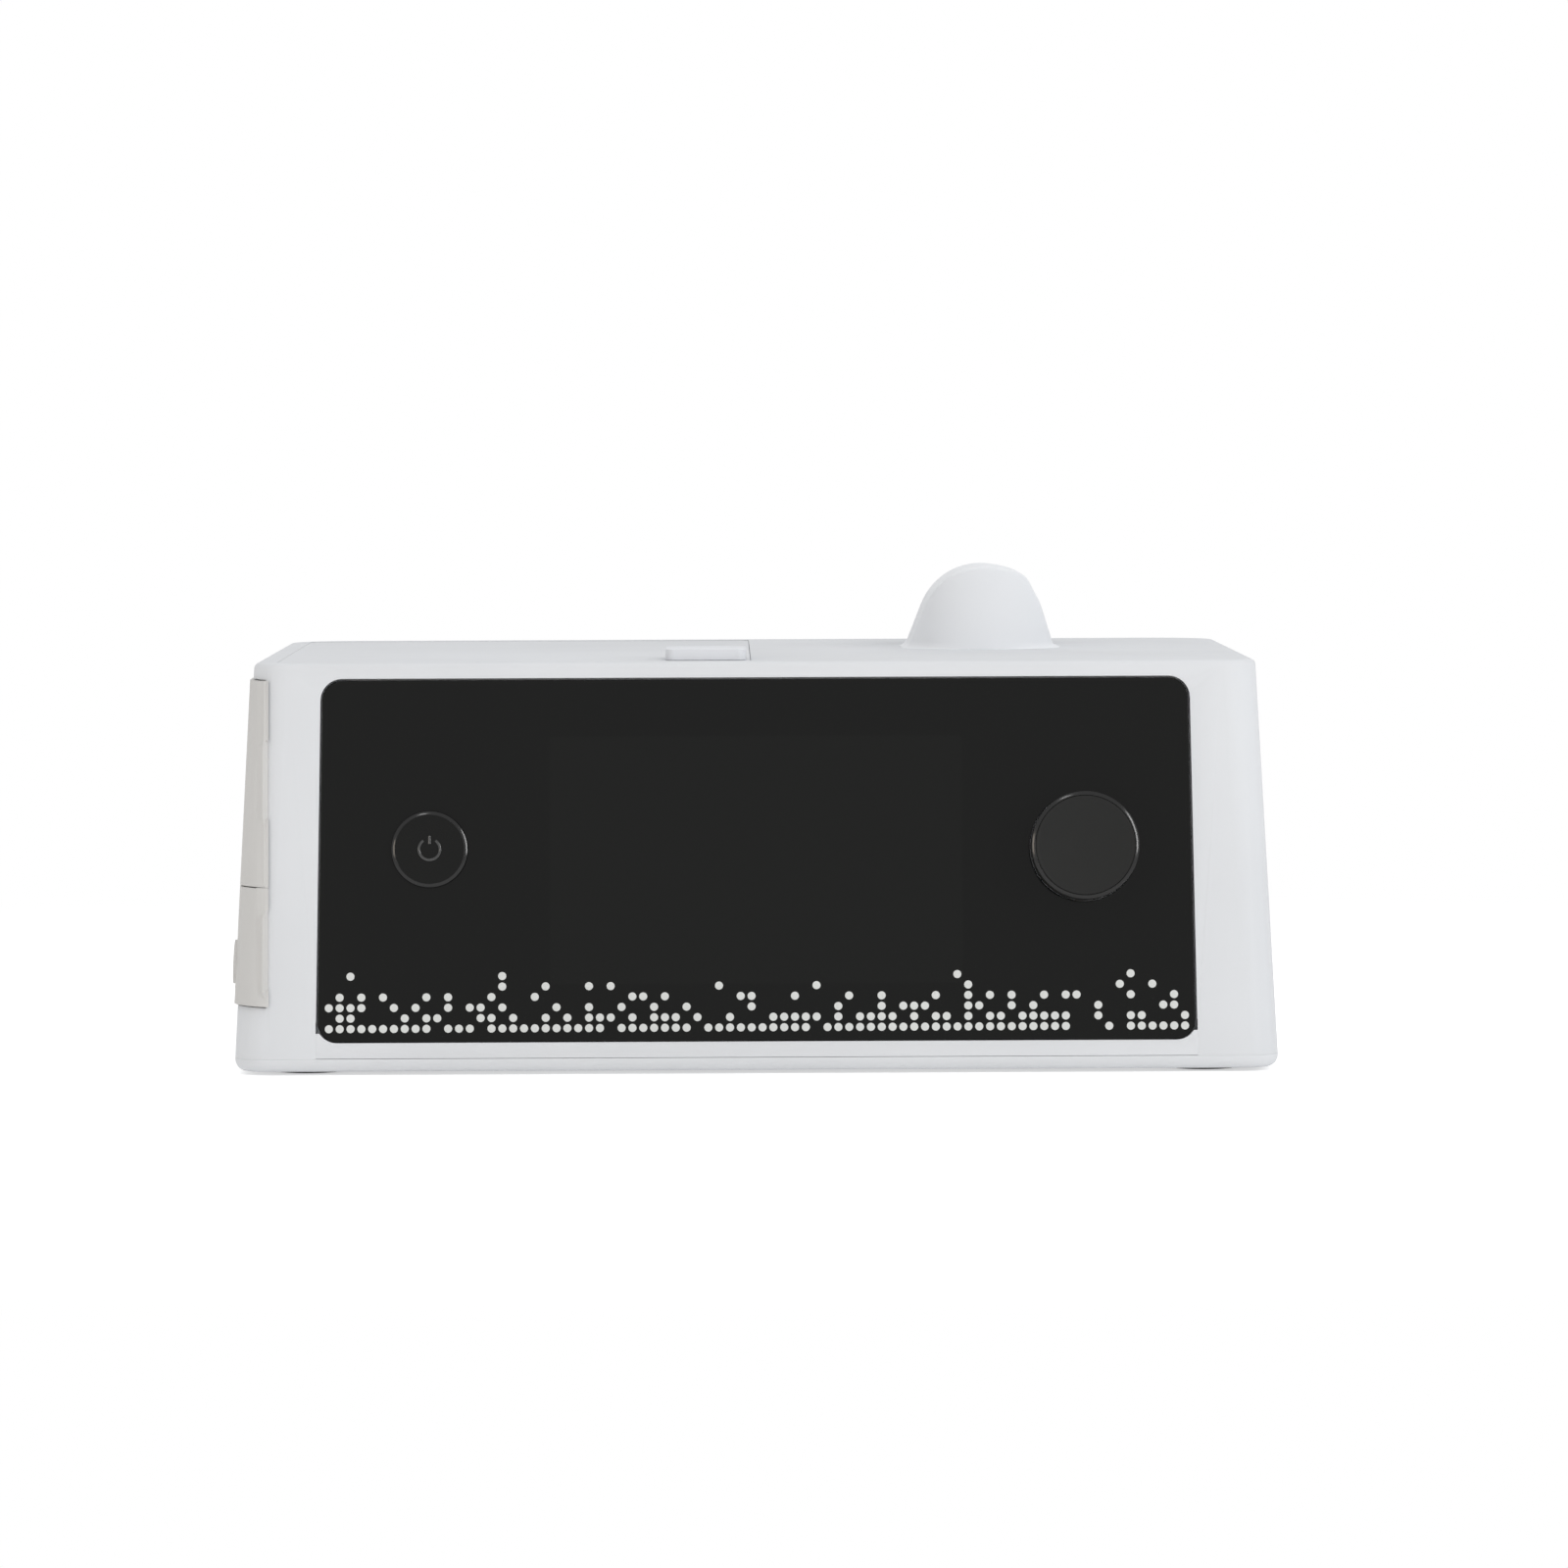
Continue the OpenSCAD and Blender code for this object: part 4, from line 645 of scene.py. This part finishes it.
def cowl_rows():
    """Arches of points in mm from the front foot to the flat back. In front they are fanned
    about the line across the cowl, and each lies where the plan's circle and the arch meet:
    its distance is the two distances joined by a high power mean, which rounds the edge.
    Both angles are spaced closer near the foot. A hollow quarter round of 1.7 mm widens the
    foot sideways, the back edge turns in, and the whole leans right."""
    fan = math.pi / 2 * np.linspace(0, 1, 120)[:, None] ** 1.3
    sweep = np.linspace(0, 1, 97)
    angle = math.pi * (sweep - 0.11 * np.sin(2 * math.pi * sweep))
    way = np.stack(np.broadcast_arrays(np.cos(angle), -np.sin(angle) * np.cos(fan),
                                       np.sin(angle) * np.sin(fan)), -1)
    plan = np.hypot(way[..., 0], way[..., 1]) / PLAN_RADIUS
    across = np.hypot(way[..., 0], way[..., 2])
    arch = across / arch_reach(np.arctan2(way[..., 2], way[..., 0]))
    front = way * ((plan ** EDGE_POWER + arch ** EDGE_POWER) ** (-1 / EDGE_POWER))[..., None]
    straight = COWL_HIGH[1] - PLAN_MIDDLE - BACK_EDGE
    back = front[-1] + np.linspace(0, straight, 8)[1:, None, None] * (0, 1, 0)
    turn = np.linspace(0, math.pi / 2, 6)[1:, None, None]
    drawn_in = 1 - 0.055 * (1 - np.cos(turn)) * np.array([1, 0, 1])
    rim = back[-1] * drawn_in + BACK_EDGE * np.sin(turn) * (0, 1, 0)
    rows = np.concatenate([front, back, rim])
    foot = FOOT_RADIUS * (1 - np.sqrt(1 - np.clip(1 - rows[..., 2] / FOOT_RADIUS, 0, 1) ** 2))
    base = np.hypot(rows[..., 0], np.minimum(rows[..., 1], 0))
    rows[..., 0] += foot * rows[..., 0] / np.maximum(base, 1e-6)
    lean = (0.3 + 0.03 * rows[..., 2:]) * (1, 0, 0)
    return rows + lean + (PORT_X, PLAN_MIDDLE, COWL_FOOT)


def outlet_cowl():
    """The hood as one skin, from its front to the flat back with the port's hole, given
    its wall by Solidify."""
    arches = cowl_rows()
    hole = np.insert(ring((PORT_X, PORT_Z), PORT_HOLE, 64), 1, arches[-1, 0, 1], axis=1)
    back, triangles = flat_fill([arches[-1], hole])
    made = piece("cowl_shell", [quads(arches / 1000, around=False), (back / 1000, triangles)],
                 cowl_painted_light, "case", 50)
    wall = made.modifiers.new("wall", "SOLIDIFY")
    wall.thickness, wall.offset = 0.0012, -1
    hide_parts("outlet_cowl")


outlet_cowl()


# The hose port

# The 22 mm male cone that the breathing hose pushes onto, in grey polycarbonate: a turned
# pipe with a rounded mouth and a raised stop ring where it leaves the cowl. The elbow
# below it is the same moulding.
grey_plastic = moulded("grey_plastic", srgb(139, 143, 149), 0.34, 0.44, grain=0.00018,
                       depth=0.000008, drift=0.05)


def on_port(points):
    """Points in mm about the port's axis, height running backwards, as points in metres."""
    x, y, z = np.moveaxis(np.asarray(points, float), -1, 0)
    return np.stack([PORT_X + x, z, PORT_Z + y], -1) / 1000


eased("outlet_port", grey_plastic, "case", 0.0005)
stop_profile = softened([(11, 40.6), (12.4, 40.6), (12.4, 42.2), (11, 42.6), (10.6, 42.4), (10.6, 40.6),
                         (11, 40.6)], 0.35, 4)
piece("port_stop_ring", [quads(on_port(turned(stop_profile, 96)))], grey_plastic, "case", 50)


# The humidifier lid and its latch

# The lid covers the left half of the top: a white shell whose frame presses a soft seal
# onto the rim of the bay, hinged on a steel rod at the back. Its latch is a ribbed slide
# near the middle of the machine, which a small coil spring holds forward.

# The lid closes up to the case round it, and the latch's thumb piece to the lid, to thin
# seams.
LID_GROWTH, LID_SHIFT = 1.0028, 0.00015
lid = eased("humidifier_lid", shell_white, "lid", 0.0002)
lid.data.transform(Matrix.Translation((LID_SHIFT, 0, 0)) @ Matrix.Diagonal((LID_GROWTH, 1, 1, 1)))
# The thumb piece's white is lighter than the housing's: painted light for its brightly lit front.
latch_painted_light = moulded("latch_painted_light", srgb(226, 228, 232), 0.62, 0.72, shine=0.12)
latch = eased("lid_latch", latch_painted_light, "latch", 0.0004, rings=4)
THUMB_THICKNESS, THUMB_DROP = 2.4, 0.14
THUMB_UNDERSIDE = (corners_of("lid_latch")[1][2] - THUMB_THICKNESS) / 1000
moved_to(latch, THUMB_UNDERSIDE - THUMB_DROP / 1000, lambda x, y, z: abs(z - THUMB_UNDERSIDE) < 0.0001)


def brushed(name, colour, gloss_low, gloss_high, along=(30, 30, 2500)):
    """Bare metal with fine drawn lines: noise stretched along one direction gives both the
    uneven gloss and the lines."""
    finish, tree, shader = new_finish(name, {"Metallic": 1.0})
    place = tree.nodes.new("ShaderNodeTexCoord")
    stretch = tree.nodes.new("ShaderNodeMapping")
    set_up(stretch, {"Scale": along})
    noise = tree.nodes.new("ShaderNodeTexNoise")
    set_up(noise, {"Scale": 1.0, "Detail": 3})
    tree.links.new(place.outputs["Object"], stretch.inputs["Vector"])
    tree.links.new(stretch.outputs["Vector"], noise.inputs["Vector"])
    lines = noise.outputs["Fac"]
    light = np.array(colour)
    tree.links.new(tones(tree, between(tree, lines, 0, 1), tuple(light * 0.86), tuple(light)),
                   shader.inputs["Base Color"])
    tree.links.new(between(tree, lines, gloss_low, gloss_high), shader.inputs["Roughness"])
    roughen(tree, lines, 0.000004)
    return finish


steel = brushed("steel", (0.56, 0.57, 0.58), 0.22, 0.34)
rod_steel = brushed("rod_steel", (0.5, 0.51, 0.52), 0.18, 0.3, (30, 2500, 2500))
eased("lid_hinge_pin", rod_steel, "case", 0.0002)
spring_steel = brushed("spring_steel", (0.48, 0.48, 0.5), 0.25, 0.35, (900, 900, 900))
coil = copied("latch_coil", "latch_spring", spring_steel, "lid")
coil_front, coil_back = (np.array(corner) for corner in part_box("latch_spring"))
tuple(coil_back)
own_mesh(coil)

soft_grey = moulded("soft_grey", srgb(150, 153, 156), 0.55, 0.7, grain=0.0003, depth=0.000006,
                    drift=0.06)
eased("lid_seal", soft_grey, "lid", 0.0003)


# The water chamber and its bay

# The tub and its cover are clear copolyester with a silicone ring between them and a
# pressed steel base that sits on the heater plate. The bay around them is grey ABS with a
# white deck up to the lid's opening, and two soft couplings lead to the air path.
def clear(name, tint, gloss):
    """Clear moulded plastic with a faint tint and slightly frosted gloss."""
    finish, tree, shader = new_finish(name, {"Transmission Weight": 0.92, "IOR": 1.5})
    light = np.array(tint)
    clouds = between(tree, speckle(tree, scale=40, detail=3), 0, 1)
    frost = between(tree, speckle(tree, scale=220, detail=4), gloss, gloss + 0.06)
    tree.links.new(tones(tree, clouds, tuple(light * 0.97), tuple(light)), shader.inputs["Base Color"])
    tree.links.new(frost, shader.inputs["Roughness"])
    roughen(tree, speckle(tree, scale=900, detail=2), 0.000004)
    return finish


clear_plastic = clear("clear_plastic", (0.86, 0.93, 0.97), 0.05)
eased("water_chamber", clear_plastic, "case", 0.0004)
eased("chamber_cover", clear_plastic, "case", 0.0005)
seal_blue = moulded("seal_blue", srgb(96, 128, 158), 0.5, 0.62, grain=0.0003, depth=0.000005)
eased("chamber_seal", seal_blue, "case", 0.0003)
eased("bay_liner", grey_plastic, "case", 0.0004)
BAY_LOW, BAY_HIGH = corners_of("bay_liner")
DECK_ACROSS, DECK_ALONG, DECK_LAP, DECK_THICKNESS = (-110.2, 1.4), (-81.4, 75.2), 0.4, 1.1
DECK_TOP = BAY_HIGH[2] - 0.1
bay_mouth = block_outline(*zip(BAY_LOW[:2] + DECK_LAP, BAY_HIGH[:2] - DECK_LAP), 5)
deck = pierced_plate(block_outline(DECK_ACROSS, DECK_ALONG, 3), [bay_mouth], DECK_TOP - DECK_THICKNESS,
                     DECK_TOP, 0.2, lambda points: points / 1000)
piece("bay_deck", deck, shell_white, "case")
eased("chamber_base_plate", steel, "case", 0.0002)
heater_aluminium = brushed("heater_aluminium", (0.72, 0.73, 0.74), 0.25, 0.38, (2500, 30, 30))
eased("heater_plate", heater_aluminium, "case", 0.0004)
black_rubber = moulded("black_rubber", srgb(70, 71, 73), 0.6, 0.8, grain=0.0003, depth=0.00001,
                       drift=0.12)
eased("port_couplings", black_rubber, "case", 0.0003)


# The left side

# Two flaps wrap the front left corner and swing back on one steel rod. The upper one hides
# the intake filter, the lower one the card and data sockets. Each has a finger lip along
# its rolled front edge.
# The flaps' white is darker and a little warmer than the housing's: painted shade for the left side, which the
# lamps light less.
door_painted_shade = moulded("door_painted_shade", srgb(205, 204, 202), 0.62, 0.72, shine=0.12)
eased("filter_cover", door_painted_shade, "filter_door", 0.00025)
eased("port_door", door_painted_shade, "socket_door", 0.00025)


CORNER_RADIUS = 8
CORNER_X = HOUSING_LOW[0] - SIDE_SLOPE * HOUSING_LOW[2] + CORNER_RADIUS
CORNER_Y = FRONT_FOOT + CORNER_RADIUS
LIP_X = corners_of("filter_cover")[1][0] + 0.02
LIP_RAMP = 0.9


def flap_lip(name, low, high, grip, plain, body):
    """The rolled front edge of a flap, carried up the case's round corner, whose middle
    leans with both walls: at each height a closed section of points (x, distance from the
    corner's middle) in mm. Between the two grip heights it swells into a nail lip with a
    hollow slope behind it."""
    ramp = np.linspace(-LIP_RAMP, LIP_RAMP, 9)
    z = np.concatenate([np.linspace(low, grip[0] - 2, 5), grip[0] + ramp,
                        np.linspace(grip[0] + 3, grip[1] - 3, 9), grip[1] + ramp,
                        np.linspace(grip[1] + 2, high, 5)])[:, None]
    swell = (np.clip((z - grip[0] + LIP_RAMP) / (2 * LIP_RAMP), 0, 1)
             * np.clip((grip[1] + LIP_RAMP - z) / (2 * LIP_RAMP), 0, 1))
    swell = (swell * swell * (3 - 2 * swell))[..., None]
    lip = [(-2.9, 8.4), (-2.85, 8.81), (-2.3, 8.84), (-1.45, 9.4), (-1.15, 9.36), (-0.1, 8.3), (0, 7.8),
           (-2.9, 7.8), (-2.9, 8.4)]
    section = softened(plain, 0.3, 6) * (1 - swell) + softened(lip, 0.3, 6) * swell
    x = LIP_X + section[..., 0]
    beside = np.minimum(x - CORNER_X - SIDE_SLOPE * z, 0)
    y = CORNER_Y + FRONT_SLOPE * z - np.sqrt(section[..., 1] ** 2 - beside ** 2)
    grid = np.stack([x, y, np.broadcast_to(z, x.shape)], -1)
    caps = [np.repeat(grid[k].mean(0)[None, None], grid.shape[1], 1) for k in (0, -1)]
    skin = quads(np.concatenate([caps[0], grid, caps[1]]) / 1000)
    piece(name, [skin], door_painted_shade, body, 40)


flap_lip("filter_cover_lip", 43, 89.2, (57.6, 75.2),
         [(-2.9, 8.4), (-2.85, 8.81), (-1.5, 8.82), (-1.05, 8.98), (-0.85, 8.92), (-0.1, 8.15), (0, 7.8),
          (-2.9, 7.8), (-2.9, 8.4)], "filter_door")
flap_lip("port_door_lip", 15.8, 42.5, (18.2, 36.6),
         [(-2.9, 8.4), (-2.85, 8.81), (-1.5, 8.81), (-0.8, 8.82), (-0.35, 8.78), (-0.1, 8.5), (0, 7.8),
          (-2.9, 7.8), (-2.9, 8.4)], "socket_door")
pin_steel = brushed("pin_steel", (0.5, 0.51, 0.52), 0.2, 0.3, (2500, 2500, 30))
eased("flap_hinge_pin", pin_steel, "case", 0.0001)
eased("filter_box", grey_plastic, "case", 0.0003)
foam = moulded("filter_foam", srgb(214, 216, 214), 0.85, 0.95, grain=0.0006, depth=0.0002,
               drift=0.15)
finish_of(node_object["air_filter"], foam)
eased("card_socket", steel, "case", 0.0001)
eased("usb_socket", steel, "case", 0.0001)
black_plastic = moulded("black_plastic", srgb(36, 36, 38), 0.35, 0.5, grain=0.00018,
                        depth=0.000008, drift=0.1)
eased("memory_card", black_plastic, "case", 0.00015)


def circuit(name):
    """Solder-resist green over copper: the edges of square cells are the tracks, a little
    paler and raised."""
    finish, tree, shader = new_finish(name, {"Roughness": 0.32})
    place = tree.nodes.new("ShaderNodeTexCoord")
    cells = tree.nodes.new("ShaderNodeTexVoronoi")
    cells.distance = "CHEBYCHEV"
    cells.feature = "F1"
    set_up(cells, {"Scale": 220})
    tree.links.new(place.outputs["Object"], cells.inputs["Vector"])
    track = between(tree, cells.outputs["Distance"], 0, 1, from_low=0.38, from_high=0.46)
    resist = tones(tree, track, (0.006, 0.07, 0.026), (0.02, 0.15, 0.06))
    tree.links.new(resist, shader.inputs["Base Color"])
    roughen(tree, track, 0.00004)
    return finish


green_board = circuit("green_board")
for board in ("port_board", "display_board", "main_board", "flow_sensor"):
    finish_of(node_object[board], green_board)


# The feet, the rear and the underside

# Four rubber feet are pressed into the tray, four steel screws hold it, and at the back sit
# the power inlet and the service socket in black nylon. The speaker sits inside.
def rubber_feet():
    """Four turned pads, each with a shallow ring groove in its tread. One stands where the
    record says that the machine rests, the others mirrored from it."""
    profile = softened([(0, 2.2), (7.9, 2.2), (7.9, 0.5), (7.4, 0), (5.4, 0), (5.2, 0.35), (4.2, 0.35),
                        (4.0, 0), (0, 0)], 0.3, 4)
    x, y, _ = 1000 * np.array(mount["table_rest"]["pos_m"])
    spots = np.array([(side * x, end * y, 0) for side in (-1, 1) for end in (1, -1)])
    points, faces = repeated(*quads(turned(profile, 64)), spots)
    made = piece("feet_moulding", [(points / 1000, faces)], black_rubber, "case", 40)
    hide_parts("rubber_feet")


rubber_feet()
eased("case_screws", steel, "case", 0.00012)
eased("dc_inlet", black_plastic, "case", 0.0003)
eased("service_port", black_plastic, "case", 0.0003)
finish_of(node_object["speaker"], black_plastic)


# The inside

# What stays behind the case: a blower, ducts and sleeves moulded in grey plastic, an
# impeller and a switch in black, soft mounts and a port seal of rubber, and the display's
# frame, the motor, the encoder, shafts and screws of steel.
for name, finish in (
        ("lcd_module", steel), ("board_screws", steel), ("encoder_shaft", steel),
        ("rotor_shaft", steel), ("motor_can", steel), ("motor_bearings", steel), ("encoder_body", steel),
        ("display_ribbon", soft_grey), ("switch_stem", grey_plastic), ("power_switch", black_plastic),
        ("encoder_sleeve", grey_plastic), ("inlet_duct", grey_plastic), ("blower_base", grey_plastic),
        ("blower_top", grey_plastic), ("blower_duct", grey_plastic), ("outlet_duct", grey_plastic),
        ("impeller", black_plastic), ("blower_mounts", black_rubber), ("port_seal", black_rubber)):
    finish_of(node_object[name], finish)
